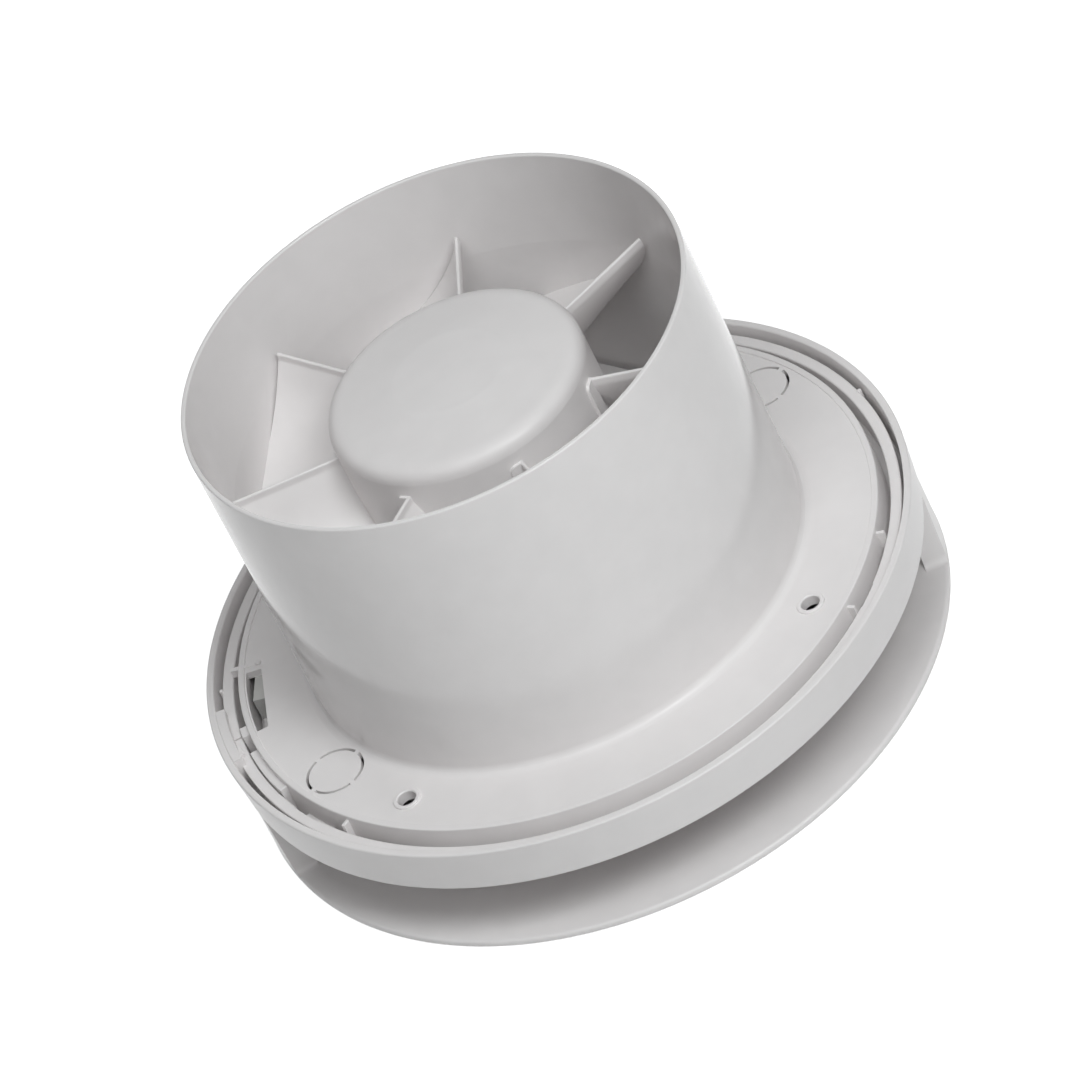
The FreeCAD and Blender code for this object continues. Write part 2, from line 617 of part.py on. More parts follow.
def vane_room():
    """Return the space that the vanes fill: the throat, and above it a cone that draws in from the wall."""
    below = FRONT_EDGE_OF_COVER - OVERRUN
    top = VANE_TOP_HEIGHT + VANE_LIP_HEIGHT + VANE_LIP_RISE
    return turned([
        (0, below, 0),
        (THROAT_RADIUS, below, 0),
        (THROAT_RADIUS, top - VANE_TIP_TAPER, 0),
        (THROAT_RADIUS - VANE_TIP_GAP, top, 0),
        (0, top, 0),
    ])


def vane_lip():
    """Return the upright lip along the X axis that ends a vane at its top, and that rises towards the wall."""
    inner = CUP_RADIUS - VANE_SINK
    foot = VANE_TOP_HEIGHT - VANE_LIP_HEIGHT + VANE_LIP_WIDTH / 2
    corners = [
        at(inner, 0, foot),
        at(THROAT_RADIUS, 0, foot + VANE_LIP_RISE),
        at(THROAT_RADIUS, 0, foot + VANE_LIP_RISE + VANE_LIP_HEIGHT),
        at(inner, 0, foot + VANE_LIP_HEIGHT),
    ]
    lip = Part.Face(Part.makePolygon(corners + corners[:1])).extrude(at(0, VANE_LIP_WIDTH, 0))
    lip.translate(at(0, -VANE_LIP_WIDTH / 2, 0))
    return lip


def vane_carrier():
    """Motor cup with seven guide vanes, whose feet sit on the wall of the duct.

    Each vane ends in an upright lip at its top, and has a flat pilaster beside its root.
    """
    room = vane_room()
    core = disc(CUP_RADIUS - VANE_SINK, FRONT_EDGE_OF_COVER - OVERRUN, OVERALL_HEIGHT + OVERRUN)
    vane = guide_vane()
    pieces = [cup_walls()]
    lip_top = VANE_TOP_HEIGHT + VANE_LIP_WIDTH / 2
    pilaster_turn = math.degrees((PILASTER_WIDTH + VANE_LIP_WIDTH) / 2 / CUP_RADIUS)
    pilaster = bar(CUP_RADIUS - VANE_SINK, CUP_RADIUS + PILASTER_RISE, CUP_FOOT_HEIGHT, lip_top,
                   PILASTER_WIDTH + VANE_SINK, -pilaster_turn)
    whole_vane = vane.fuse(vane_lip()).common(room).cut(core).fuse(pilaster)
    pieces.extend(around(whole_vane, angle) for angle in turns(VANE_COUNT, VANE_FIRST_ANGLE))
    for angle in turns(SCREW_COUNT, SCREW_FIRST_ANGLE):
        x, y = polar(SCREW_CIRCLE_RADIUS, angle)
        pieces.append(disc(CUP_BOSS_RADIUS, CUP_BOSS_FOOT_HEIGHT, CUP_TOP_HEIGHT - CUP_CROWN - CUP_WALL / 2, x, y))
    whole = joined(pieces)
    for angle in turns(SCREW_COUNT, SCREW_FIRST_ANGLE):
        x, y = polar(SCREW_CIRCLE_RADIUS, angle)
        whole = whole.cut(disc(SCREW_RADIUS, CUP_BOSS_FOOT_HEIGHT - OVERRUN, SCREW_TIP_HEIGHT, x, y))
    notch_top = LEAD_RUN_HEIGHT + LEAD_RUN_NOTCH
    notch = bar(CUP_RADIUS - CUP_WALL - OVERRUN, CUP_RADIUS + VANE_SINK, CUP_FOOT_HEIGHT - OVERRUN, notch_top,
                LEAD_GROOVE_WIDTH, LEAD_ANGLE)
    return whole.cut(notch)


def rubber_mounts():
    """Four rubber washers between the cup's bosses and the motor's upper bracket."""
    pieces = []
    low = CUP_BOSS_FOOT_HEIGHT - MOUNT_HEIGHT
    for angle in turns(SCREW_COUNT, SCREW_FIRST_ANGLE):
        x, y = polar(SCREW_CIRCLE_RADIUS, angle)
        pieces.append(tube(SCREW_RADIUS + SCREW_CLEARANCE, MOUNT_RADIUS, low, CUP_BOSS_FOOT_HEIGHT, x, y))
    return group(pieces)


def slotted_screw(radius, head_radius, head_height, head_low, tip, x, y):
    """Return a screw that points up, with a slotted round head below the height head_low + head_height."""
    shank = disc(radius, head_low + head_height, tip, x, y)
    head = disc(head_radius, head_low, head_low + head_height, x, y)
    slot_depth = min(SCREW_SLOT_DEPTH, head_height / 2)
    slot = Part.makeBox(2 * head_radius + 2 * OVERRUN, SCREW_SLOT_WIDTH, slot_depth + OVERRUN,
                        at(x - head_radius - OVERRUN, y - SCREW_SLOT_WIDTH / 2, head_low - OVERRUN))
    return shank.fuse(head).removeSplitter().cut(slot)


def motor_screws():
    """Four long screws that hold brackets, stator and rubber mounts to the cup."""
    pieces = []
    head_low = LOWER_BRACKET_HEIGHT - SCREW_HEAD_HEIGHT
    for angle in turns(SCREW_COUNT, SCREW_FIRST_ANGLE):
        x, y = polar(SCREW_CIRCLE_RADIUS, angle)
        pieces.append(slotted_screw(SCREW_RADIUS, SCREW_HEAD_RADIUS, SCREW_HEAD_HEIGHT, head_low,
                                    SCREW_TIP_HEIGHT, x, y))
    return group(pieces)


def motor_bracket(plate_low, post_low, post_high, bearing_low, lip_side):
    """Return a motor bracket: plate, four posts to the stator, and a bearing seat with a lip on one side."""
    seat_low = bearing_low - (BRACKET_LIP if lip_side < 0 else 0)
    seat_high = bearing_low + BEARING_WIDTH + (BRACKET_LIP if lip_side > 0 else 0)
    boss_low = min(seat_low, plate_low)
    boss_high = max(seat_high, plate_low + BRACKET_THICKNESS)
    pieces = [disc(BRACKET_RADIUS, plate_low, plate_low + BRACKET_THICKNESS)]
    pieces.append(disc(BEARING_RADIUS + BRACKET_BOSS_WALL, boss_low, boss_high))
    places = [polar(SCREW_CIRCLE_RADIUS, angle) for angle in turns(SCREW_COUNT, SCREW_FIRST_ANGLE)]
    for x, y in places:
        pieces.append(disc(BRACKET_POST_RADIUS, post_low, post_high, x, y))
    whole = joined(pieces)
    open_low = bearing_low if lip_side < 0 else boss_low - OVERRUN
    open_high = bearing_low + BEARING_WIDTH if lip_side > 0 else boss_high + OVERRUN
    removed = [disc(BEARING_RADIUS, open_low, open_high)]
    removed.append(disc(BRACKET_LIP_RADIUS, boss_low - OVERRUN, boss_high + OVERRUN))
    for x, y in places:
        removed.append(disc(SCREW_RADIUS + SCREW_CLEARANCE, post_low - OVERRUN, post_high + OVERRUN, x, y))
    for angle in turns(POLE_COUNT):
        removed.append(sector(BRACKET_VENT_INNER_RADIUS, BRACKET_VENT_OUTER_RADIUS, plate_low - OVERRUN,
                              plate_low + BRACKET_THICKNESS + OVERRUN, angle, BRACKET_VENT_HALF_ANGLE))
    return whole.cut(Part.makeCompound(removed))


def upper_motor_bracket():
    """Bracket between the stator and the rubber mounts."""
    high = UPPER_BRACKET_HEIGHT + BRACKET_THICKNESS
    return motor_bracket(UPPER_BRACKET_HEIGHT, CORE_TOP_HEIGHT, high, UPPER_BEARING_HEIGHT, -1)


def lower_motor_bracket():
    """Bracket between the stator and the screw heads."""
    return motor_bracket(LOWER_BRACKET_HEIGHT, LOWER_BRACKET_HEIGHT, CORE_FOOT_HEIGHT, LOWER_BEARING_HEIGHT, 1)


def stator_core():
    """Lamination stack: a yoke ring with four wide-footed poles."""
    pieces = [tube(CORE_RADIUS - YOKE_WIDTH, CORE_RADIUS, CORE_FOOT_HEIGHT, CORE_TOP_HEIGHT)]
    shoe_outer = STATOR_BORE_RADIUS + POLE_SHOE_DEPTH
    for angle in turns(POLE_COUNT):
        pieces.append(bar(STATOR_BORE_RADIUS, CORE_RADIUS - YOKE_WIDTH / 2, CORE_FOOT_HEIGHT, CORE_TOP_HEIGHT,
                          POLE_WIDTH, angle))
        pieces.append(sector(STATOR_BORE_RADIUS, shoe_outer, CORE_FOOT_HEIGHT, CORE_TOP_HEIGHT, angle,
                             POLE_SHOE_HALF_ANGLE))
    whole = joined(pieces)
    removed = [disc(STATOR_BORE_RADIUS, CORE_FOOT_HEIGHT - OVERRUN, CORE_TOP_HEIGHT + OVERRUN)]
    room_half_width = WOUND_POLE_HALF_WIDTH + TOUCH
    room_width = room_half_width - POLE_WIDTH / 2
    for angle in turns(POLE_COUNT):
        for side in (-1, 1):
            room = Part.makeBox(CORE_RADIUS - YOKE_WIDTH - BOBBIN_START, room_width, CORE_LENGTH + 2 * OVERRUN,
                                at(BOBBIN_START, min(side * POLE_WIDTH / 2, side * room_half_width),
                                   CORE_FOOT_HEIGHT - OVERRUN))
            removed.append(around(room, angle))
    for angle in turns(SCREW_COUNT, SCREW_FIRST_ANGLE):
        x, y = polar(SCREW_CIRCLE_RADIUS, angle)
        removed.append(disc(SCREW_RADIUS + SCREW_CLEARANCE, CORE_FOOT_HEIGHT - OVERRUN, CORE_TOP_HEIGHT + OVERRUN,
                            x, y))
    return whole.cut(Part.makeCompound(removed))


def pole_sleeve(inner_width, outer_width, start, length, corner):
    """Return a square sleeve round the pole on the X axis."""
    half = outer_width / 2
    block = Part.makeBox(length, outer_width, outer_width, at(start, -half, CORE_MID_HEIGHT - half))
    if corner > 0:
        edges = [edge for edge in block.Edges if edge.BoundBox.XLength > length / 2]
        block = block.makeFillet(corner, edges)
    inner = inner_width / 2
    hole = Part.makeBox(length + 2 * OVERRUN, inner_width, inner_width,
                        at(start - OVERRUN, -inner, CORE_MID_HEIGHT - inner))
    return block.cut(hole)


def coil_bobbins():
    """Four plastic bobbins, one on each pole, with a flange at each end."""
    bare = POLE_WIDTH + 2 * BOBBIN_CLEARANCE
    walled = bare + 2 * BOBBIN_WALL
    flanged = walled + 2 * COIL_BUILD
    start = BOBBIN_START
    pieces = []
    for angle in turns(POLE_COUNT):
        sleeve = pole_sleeve(bare, walled, start, BOBBIN_LENGTH, 0)
        inner_flange = pole_sleeve(bare, flanged, start, BOBBIN_WALL, 0)
        outer_flange = pole_sleeve(bare, flanged, start + BOBBIN_LENGTH - BOBBIN_WALL, BOBBIN_WALL, 0)
        pieces.append(around(joined([sleeve, inner_flange, outer_flange]), angle))
    return group(pieces)


def stator_coils():
    """Four coils of copper wire, one on each bobbin."""
    walled = POLE_WIDTH + 2 * BOBBIN_CLEARANCE + 2 * BOBBIN_WALL
    start = BOBBIN_START + BOBBIN_WALL
    length = BOBBIN_LENGTH - 2 * BOBBIN_WALL
    coil = pole_sleeve(walled, walled + 2 * COIL_BUILD, start, length, COIL_CORNER_ROUND)
    return group([around(coil, angle) for angle in turns(POLE_COUNT)])


def rotor_core():
    """Lamination stack of the rotor."""
    return tube(SHAFT_RADIUS, ROTOR_RADIUS, CORE_FOOT_HEIGHT, CORE_TOP_HEIGHT)


def rotor_end_rings():
    """The two cast rings that close the rotor's cage."""
    inner = ROTOR_RADIUS - ROTOR_RING_WIDTH
    outer = ROTOR_RADIUS - AIR_GAP
    upper = tube(inner, outer, CORE_TOP_HEIGHT, CORE_TOP_HEIGHT + ROTOR_RING_HEIGHT)
    lower = tube(inner, outer, CORE_FOOT_HEIGHT - ROTOR_RING_HEIGHT, CORE_FOOT_HEIGHT)
    return group([upper, lower])


def rotor_spacers():
    """Two bushes that keep the rotor between the bearings."""
    outer = SHAFT_RADIUS + SPACER_WALL
    upper = tube(SHAFT_RADIUS, outer, CORE_TOP_HEIGHT, UPPER_BEARING_HEIGHT)
    lower = tube(SHAFT_RADIUS, outer, LOWER_BEARING_HEIGHT + BEARING_WIDTH, CORE_FOOT_HEIGHT)
    return group([upper, lower])


def motor_shaft():
    """Steel shaft with bevelled ends."""
    return turned([
        (0, SHAFT_LOWER_END, 0),
        (SHAFT_RADIUS - SHAFT_END_BEVEL, SHAFT_LOWER_END, 0),
        (SHAFT_RADIUS, SHAFT_LOWER_END + SHAFT_END_BEVEL, 0),
        (SHAFT_RADIUS, SHAFT_UPPER_END - SHAFT_END_BEVEL, 0),
        (SHAFT_RADIUS - SHAFT_END_BEVEL, SHAFT_UPPER_END, 0),
        (0, SHAFT_UPPER_END, 0),
    ])


def race(inner, outer, low):
    """Return a bearing race with rounded edges."""
    high = low + BEARING_WIDTH
    return turned([
        (inner, low, RACE_ROUND),
        (outer, low, RACE_ROUND),
        (outer, high, RACE_ROUND),
        (inner, high, RACE_ROUND),
    ])


def inner_race(low):
    """Return the race that turns with the shaft."""
    return race(SHAFT_RADIUS, SHAFT_RADIUS + INNER_RACE_WALL, low)


def outer_race(low):
    """Return the race that sits in the bracket."""
    return race(BEARING_RADIUS - OUTER_RACE_WALL, BEARING_RADIUS, low)


def balls(low):
    """Return the ball set of one bearing."""
    inner = SHAFT_RADIUS + INNER_RACE_WALL
    outer = BEARING_RADIUS - OUTER_RACE_WALL
    radius = (outer - inner) / 2 - BALL_CLEARANCE
    pieces = []
    for angle in turns(BALL_COUNT):
        x, y = polar((inner + outer) / 2, angle)
        pieces.append(Part.makeSphere(radius, at(x, y, low + BEARING_WIDTH / 2)))
    return group(pieces)


def impeller():
    """Hub with an inner boss and ribs, and six twisted blades, in one moulding."""
    outside = turned([
        (0, HUB_NOSE_HEIGHT, 0),
        (HUB_RADIUS, HUB_NOSE_HEIGHT, HUB_NOSE_ROUND),
        (HUB_RADIUS, HUB_TOP_HEIGHT, 0),
        (0, HUB_TOP_HEIGHT, 0),
    ])
    inside = turned([
        (0, HUB_NOSE_HEIGHT + HUB_FACE, 0),
        (HUB_RADIUS - HUB_WALL, HUB_NOSE_HEIGHT + HUB_FACE, HUB_NOSE_ROUND - HUB_WALL),
        (HUB_RADIUS - HUB_WALL, HUB_TOP_HEIGHT + OVERRUN, 0),
        (0, HUB_TOP_HEIGHT + OVERRUN, 0),
    ])
    pieces = [outside.cut(inside)]
    pieces.append(disc(HUB_BOSS_RADIUS, HUB_NOSE_HEIGHT, HUB_BOSS_TOP_HEIGHT))
    for angle in turns(HUB_RIB_COUNT):
        pieces.append(bar(HUB_BOSS_RADIUS / 2, HUB_RADIUS - HUB_WALL / 2, HUB_NOSE_HEIGHT + HUB_FACE / 2,
                          HUB_RIB_TOP_HEIGHT, HUB_RIB_WIDTH, angle))
    blade = impeller_blade()
    pieces.extend(around(blade, angle) for angle in turns(BLADE_COUNT))
    return joined(pieces).cut(disc(SHAFT_RADIUS, HUB_NOSE_HEIGHT - OVERRUN, HUB_BOSS_TOP_HEIGHT + OVERRUN))


def impeller_blade():
    """Return one blade, trimmed to the hub and to its tip radius."""
    def section(distance, chord, stagger):
        lean = math.radians(stagger)
        half_height = chord * math.cos(lean) / 2
        half_width = chord * math.sin(lean) / 2
        side = BLADE_CAMBER * math.cos(lean)
        rise = BLADE_CAMBER * math.sin(lean)
        widths = (-half_width, side, half_width)
        angles = [math.degrees(math.atan(width / distance)) for width in widths]
        heights = (BLADE_MID_HEIGHT - half_height, BLADE_MID_HEIGHT - rise, BLADE_MID_HEIGHT + half_height)
        return blade_wire(distance, angles, heights, BLADE_THICKNESS)

    root = section(BLADE_ROOT_RADIUS, BLADE_ROOT_CHORD, BLADE_ROOT_STAGGER)
    tip = section(BLADE_TIP_RADIUS, BLADE_TIP_CHORD, BLADE_TIP_STAGGER)
    blade = Part.makeLoft([root, tip], True, True)
    low = HUB_NOSE_HEIGHT - OVERRUN
    keep = tube(HUB_RADIUS - HUB_WALL / 2, BLADE_TIP_RADIUS, low, CUP_FOOT_HEIGHT)
    return blade.common(keep)


def impeller_retainer():
    """Push-on spring washer that holds the impeller on the shaft."""
    low = HUB_NOSE_HEIGHT - RETAINER_THICKNESS
    return tube(SHAFT_RADIUS, RETAINER_RADIUS, low, HUB_NOSE_HEIGHT)


def shaft_circlip():
    """Open ring that stops the impeller's boss from moving up the shaft."""
    ring = tube(SHAFT_RADIUS, CIRCLIP_RADIUS, HUB_BOSS_TOP_HEIGHT, HUB_BOSS_TOP_HEIGHT + CIRCLIP_THICKNESS)
    mouth = bar(0, CIRCLIP_RADIUS + OVERRUN, HUB_BOSS_TOP_HEIGHT - OVERRUN,
                HUB_BOSS_TOP_HEIGHT + CIRCLIP_THICKNESS + OVERRUN, CIRCLIP_MOUTH, 0)
    return ring.cut(mouth)


def terminal_pole_offsets():
    """Return the sideways place of each pole of the terminal block."""
    pitch = TERMINAL_WIDTH / TERMINAL_COUNT
    return [(index - (TERMINAL_COUNT - 1) / 2) * pitch for index in range(TERMINAL_COUNT)]


def terminal_block():
    """Three-pole block, ridged between its poles on its screw side and open at both ends of each pole."""
    inner = TERMINAL_MID_RADIUS - TERMINAL_DEPTH / 2
    half = TERMINAL_WIDTH / 2
    block = Part.makeBox(TERMINAL_DEPTH, TERMINAL_WIDTH, TERMINAL_HEIGHT, at(inner, -half, TERMINAL_SEAT_HEIGHT))
    pitch = TERMINAL_WIDTH / TERMINAL_COUNT
    for offset in terminal_pole_offsets():
        channel = Part.makeCylinder(CLAMP_TUBE_RADIUS, CLAMP_TUBE_LENGTH,
                                    at(TERMINAL_MID_RADIUS - CLAMP_TUBE_LENGTH / 2, offset, TERMINAL_AXIS_HEIGHT),
                                    at(1, 0, 0))
        entry = Part.makeCylinder(TERMINAL_ENTRY_RADIUS, TERMINAL_DEPTH + 2 * OVERRUN,
                                  at(inner - OVERRUN, offset, TERMINAL_AXIS_HEIGHT), at(1, 0, 0))
        shaft = disc(TERMINAL_SCREW_RADIUS, TERMINAL_SEAT_HEIGHT - OVERRUN, TERMINAL_AXIS_HEIGHT,
                     TERMINAL_MID_RADIUS, offset)
        step_width = pitch - 2 * TERMINAL_RIDGE
        step = Part.makeBox(TERMINAL_DEPTH + 2 * OVERRUN, step_width, TERMINAL_RIDGE + OVERRUN,
                            at(inner - OVERRUN, offset - step_width / 2, TERMINAL_SEAT_HEIGHT - OVERRUN))
        block = block.cut(Part.makeCompound([channel, entry, shaft, step]))
    return around(block, TERMINAL_ANGLE)


def terminal_clamps():
    """Brass tubes inside the terminal block, each with a threaded hole for its screw."""
    pieces = []
    for offset in terminal_pole_offsets():
        start = at(TERMINAL_MID_RADIUS - CLAMP_TUBE_LENGTH / 2, offset, TERMINAL_AXIS_HEIGHT)
        clamp = Part.makeCylinder(CLAMP_TUBE_RADIUS, CLAMP_TUBE_LENGTH, start, at(1, 0, 0))
        start = at(TERMINAL_MID_RADIUS - CLAMP_TUBE_LENGTH / 2 - OVERRUN, offset, TERMINAL_AXIS_HEIGHT)
        bore = Part.makeCylinder(TERMINAL_ENTRY_RADIUS, CLAMP_TUBE_LENGTH + 2 * OVERRUN, start, at(1, 0, 0))
        thread = disc(TERMINAL_SCREW_RADIUS, TERMINAL_SEAT_HEIGHT - OVERRUN, TERMINAL_AXIS_HEIGHT,
                      TERMINAL_MID_RADIUS, offset)
        pieces.append(around(clamp.cut(bore).cut(thread), TERMINAL_ANGLE))
    return group(pieces)


def terminal_screws():
    """Grub screws of the terminal block."""
    pieces = []
    for offset in terminal_pole_offsets():
        low = TERMINAL_SEAT_HEIGHT + TERMINAL_RIDGE
        high = TERMINAL_AXIS_HEIGHT - TERMINAL_ENTRY_RADIUS + TERMINAL_SCREW_BITE
        screw = disc(TERMINAL_SCREW_RADIUS, low, high, TERMINAL_MID_RADIUS, offset)
        slot = Part.makeBox(2 * TERMINAL_SCREW_RADIUS + 2 * OVERRUN, SCREW_SLOT_WIDTH / 2,
                            SCREW_SLOT_DEPTH / 2 + OVERRUN,
                            at(TERMINAL_MID_RADIUS - TERMINAL_SCREW_RADIUS - OVERRUN,
                               offset - SCREW_SLOT_WIDTH / 4, low - OVERRUN))
        pieces.append(around(screw.cut(slot), TERMINAL_ANGLE))
    return group(pieces)


def terminal_cover():
    """Thin lid over the terminal block and the cable clamp, with a sunk screw place."""
    middle = (LID_FIRST_ANGLE + LID_LAST_ANGLE) / 2
    half = (LID_LAST_ANGLE - LID_FIRST_ANGLE) / 2
    lid = sector(LID_INNER_RADIUS, LID_OUTER_RADIUS, LID_TOP_HEIGHT - LID_THICKNESS, LID_TOP_HEIGHT, middle, half)
    x, y = polar(LID_SCREW_CIRCLE_RADIUS, LID_SCREW_ANGLE)
    hole = disc(LID_SCREW_RADIUS + SCREW_CLEARANCE, LID_TOP_HEIGHT - OVERRUN, LID_TOP_HEIGHT + OVERRUN, x, y)
    sink_top = LID_TOP_HEIGHT - LID_THICKNESS + LID_SCREW_HEAD_SINK
    sink = disc(LID_SCREW_HEAD_RADIUS + SCREW_CLEARANCE, LID_TOP_HEIGHT - OVERRUN, sink_top, x, y)
    return lid.cut(hole).cut(sink)


def terminal_cover_screw():
    """Screw of the terminal cover."""
    x, y = polar(LID_SCREW_CIRCLE_RADIUS, LID_SCREW_ANGLE)
    head_low = LID_TOP_HEIGHT - LID_THICKNESS
    return slotted_screw(LID_SCREW_RADIUS, LID_SCREW_HEAD_RADIUS, LID_SCREW_HEAD_SINK, head_low,
                         PLATE_FRONT_HEIGHT, x, y)


def strap_screw_places():
    """Return x and y of the two screws of the cable clamp."""
    places = []
    for side in (-1, 1):
        places.append(polar(STRAP_MID_RADIUS + side * STRAP_SCREW_DISTANCE / 2, STRAP_ANGLE))
    return places


def cable_clamp():
    """Strap that grips the supply cable under the plate."""
    top = PLATE_FRONT_HEIGHT - STRAP_RISE
    inner = STRAP_MID_RADIUS - STRAP_LENGTH / 2
    strap = bar(inner, inner + STRAP_LENGTH, top - STRAP_THICKNESS, top, STRAP_WIDTH, STRAP_ANGLE)
    for x, y in strap_screw_places():
        strap = strap.cut(disc(STRAP_SCREW_RADIUS + SCREW_CLEARANCE, top - OVERRUN, top + OVERRUN, x, y))
    return strap


def cable_clamp_screws():
    """The two screws of the cable clamp."""
    head_low = PLATE_FRONT_HEIGHT - STRAP_RISE - STRAP_THICKNESS - STRAP_SCREW_HEAD_HEIGHT
    pieces = []
    for x, y in strap_screw_places():
        pieces.append(slotted_screw(STRAP_SCREW_RADIUS, STRAP_SCREW_HEAD_RADIUS, STRAP_SCREW_HEAD_HEIGHT, head_low,
                                    PLATE_FRONT_HEIGHT, x, y))
    return group(pieces)


def motor_lead(side):
    """Return one insulated motor lead, from the stator under a vane and down the wall to the terminal block."""
    corners = [at(radius, side * LEAD_SPACING / 2, height) for radius, height in lead_points()]
    edges = []
    start = corners[0]
    for before, here, after in zip(corners, corners[1:], corners[2:]):
        back = (before - here).normalize() * LEAD_BEND_RADIUS
        ahead = (after - here).normalize() * LEAD_BEND_RADIUS
        centre = here + back + ahead
        middle = centre + (here - centre).normalize() * LEAD_BEND_RADIUS
        edges.append(Part.makeLine(start, here + back))
        edges.append(Part.Arc(here + back, middle, here + ahead).toShape())
        start = here + ahead
    edges.append(Part.makeLine(start, corners[-1]))
    path = Part.Wire(edges)
    ring = Part.Wire(Part.makeCircle(LEAD_RADIUS, corners[0], UP))
    return around(path.makePipeShell([ring], True, False), LEAD_ANGLE)


def live_lead():
    """Brown motor lead."""
    return motor_lead(-1)


def neutral_lead():
    """Blue motor lead."""
    return motor_lead(1)


def cover_ring():
    """Cover that clips over the mounting plate: outer wall, inner rim with clip pockets, and inlet lip."""
    inner_rim_top = BACK_EDGE_OF_COVER - INNER_RIM_DROP
    shell = turned([
        (INLET_LIP_RADIUS, FRONT_EDGE_OF_COVER, INLET_LIP_ROUND),
        (COVER_FRONT_RADIUS, FRONT_EDGE_OF_COVER, COVER_EDGE_ROUND),
        (COVER_BACK_RADIUS, BACK_EDGE_OF_COVER, COVER_EDGE_ROUND),
        (COVER_BACK_RADIUS - COVER_WALL, BACK_EDGE_OF_COVER, COVER_EDGE_ROUND),
        (COVER_FRONT_RADIUS - COVER_WALL, COVER_FLOOR_HEIGHT, 0),
        (INNER_RIM_RADIUS + INNER_RIM_FOOT_WIDTH, COVER_FLOOR_HEIGHT, 0),
        (INNER_RIM_RADIUS + INNER_RIM_TOP_WIDTH, inner_rim_top, COVER_EDGE_ROUND),
        (INNER_RIM_RADIUS, inner_rim_top, COVER_EDGE_ROUND),
        (INNER_RIM_RADIUS, COVER_FLOOR_HEIGHT, 0),
        (INLET_LIP_RADIUS, COVER_FLOOR_HEIGHT, 0),
    ])
    removed = []
    low = inner_rim_top - POCKET_DEPTH
    high = inner_rim_top + OVERRUN
    for angle in CLIP_ANGLES:
        removed.append(sector(INNER_RIM_RADIUS - TOUCH, INNER_RIM_RADIUS + POCKET_DEEP_CUT, low, high, angle,
                              POCKET_DEEP_HALF_ANGLE))
        removed.append(sector(INNER_RIM_RADIUS - TOUCH, INNER_RIM_RADIUS + POCKET_SHALLOW_CUT,
                              (low + inner_rim_top) / 2, high, angle, POCKET_SHALLOW_HALF_ANGLE))
    for side in (0, FULL_TURN / 2):
        for peg_side in (-1, 1):
            x, y = polar(PEG_CIRCLE_RADIUS, side + peg_side * PEG_ANGLE)
            removed.append(disc(PEG_RADIUS, FRONT_EDGE_OF_COVER - OVERRUN, FRONT_EDGE_OF_COVER + PEG_LENGTH, x, y))
    block_top = BACK_EDGE_OF_COVER - COVER_EDGE_ROUND - GROOVE_BLOCK_DROP
    block = sector(INNER_RIM_RADIUS + INNER_RIM_FOOT_WIDTH, COVER_FRONT_RADIUS - COVER_WALL / 2,
                   COVER_FLOOR_HEIGHT, block_top, GROOVE_BLOCK_ANGLE, GROOVE_BLOCK_HALF_ANGLE)
    return shell.cut(Part.makeCompound(removed)).fuse(block).removeSplitter()


def tapered_arc(inner, outer, low, high, inset):
    """Return a piece of a flat ring on the X axis, whose two ends lean together towards its top."""
    foot = SUPPORT_OUTER_RADIUS * math.sin(math.radians(SUPPORT_FOOT_HALF_ANGLE)) - inset
    top = SUPPORT_OUTER_RADIUS * math.sin(math.radians(SUPPORT_TOP_HALF_ANGLE)) - inset
    corners = [at(0, -foot, low), at(0, foot, low), at(0, top, high), at(0, -top, high)]
    sides = Part.Face(Part.makePolygon(corners + corners[:1])).extrude(at(outer + OVERRUN, 0, 0))
    return tube(inner, outer, low, high).common(sides)


def panel_support(angle):
    """Return one hollow support between cover ring and front panel, with pegs into both."""
    inner = SUPPORT_OUTER_RADIUS - SUPPORT_DEPTH
    low = PANEL_THICKNESS
    high = FRONT_EDGE_OF_COVER
    shell = tapered_arc(inner, SUPPORT_OUTER_RADIUS, low, high, 0)
    room = tapered_arc(inner + SUPPORT_WALL, SUPPORT_OUTER_RADIUS - SUPPORT_WALL, low + SUPPORT_WALL, high,
                       SUPPORT_WALL)
    shell = around(shell.cut(room), angle)
    pegs = []
    for side in (-1, 1):
        x, y = polar(PEG_CIRCLE_RADIUS, angle + side * PEG_ANGLE)
        pegs.append(disc(PEG_BOSS_RADIUS, low, high, x, y))
        pegs.append(disc(PEG_RADIUS, low - PEG_LENGTH, high + PEG_LENGTH, x, y))
    return joined([shell] + pegs)


def front_panel():
    """Flat round panel with a rounded edge and blind holes for the supports' pegs."""
    panel = turned([
        (0, 0, 0),
        (PANEL_RADIUS, 0, PANEL_ROUND),
        (PANEL_RADIUS, PANEL_THICKNESS, PANEL_ROUND),
        (0, PANEL_THICKNESS, 0),
    ])
    holes = []
    for side in (0, FULL_TURN / 2):
        for peg_side in (-1, 1):
            x, y = polar(PEG_CIRCLE_RADIUS, side + peg_side * PEG_ANGLE)
            holes.append(disc(PEG_RADIUS, PANEL_THICKNESS - PEG_LENGTH, PANEL_THICKNESS + OVERRUN, x, y))
    return panel.cut(Part.makeCompound(holes))


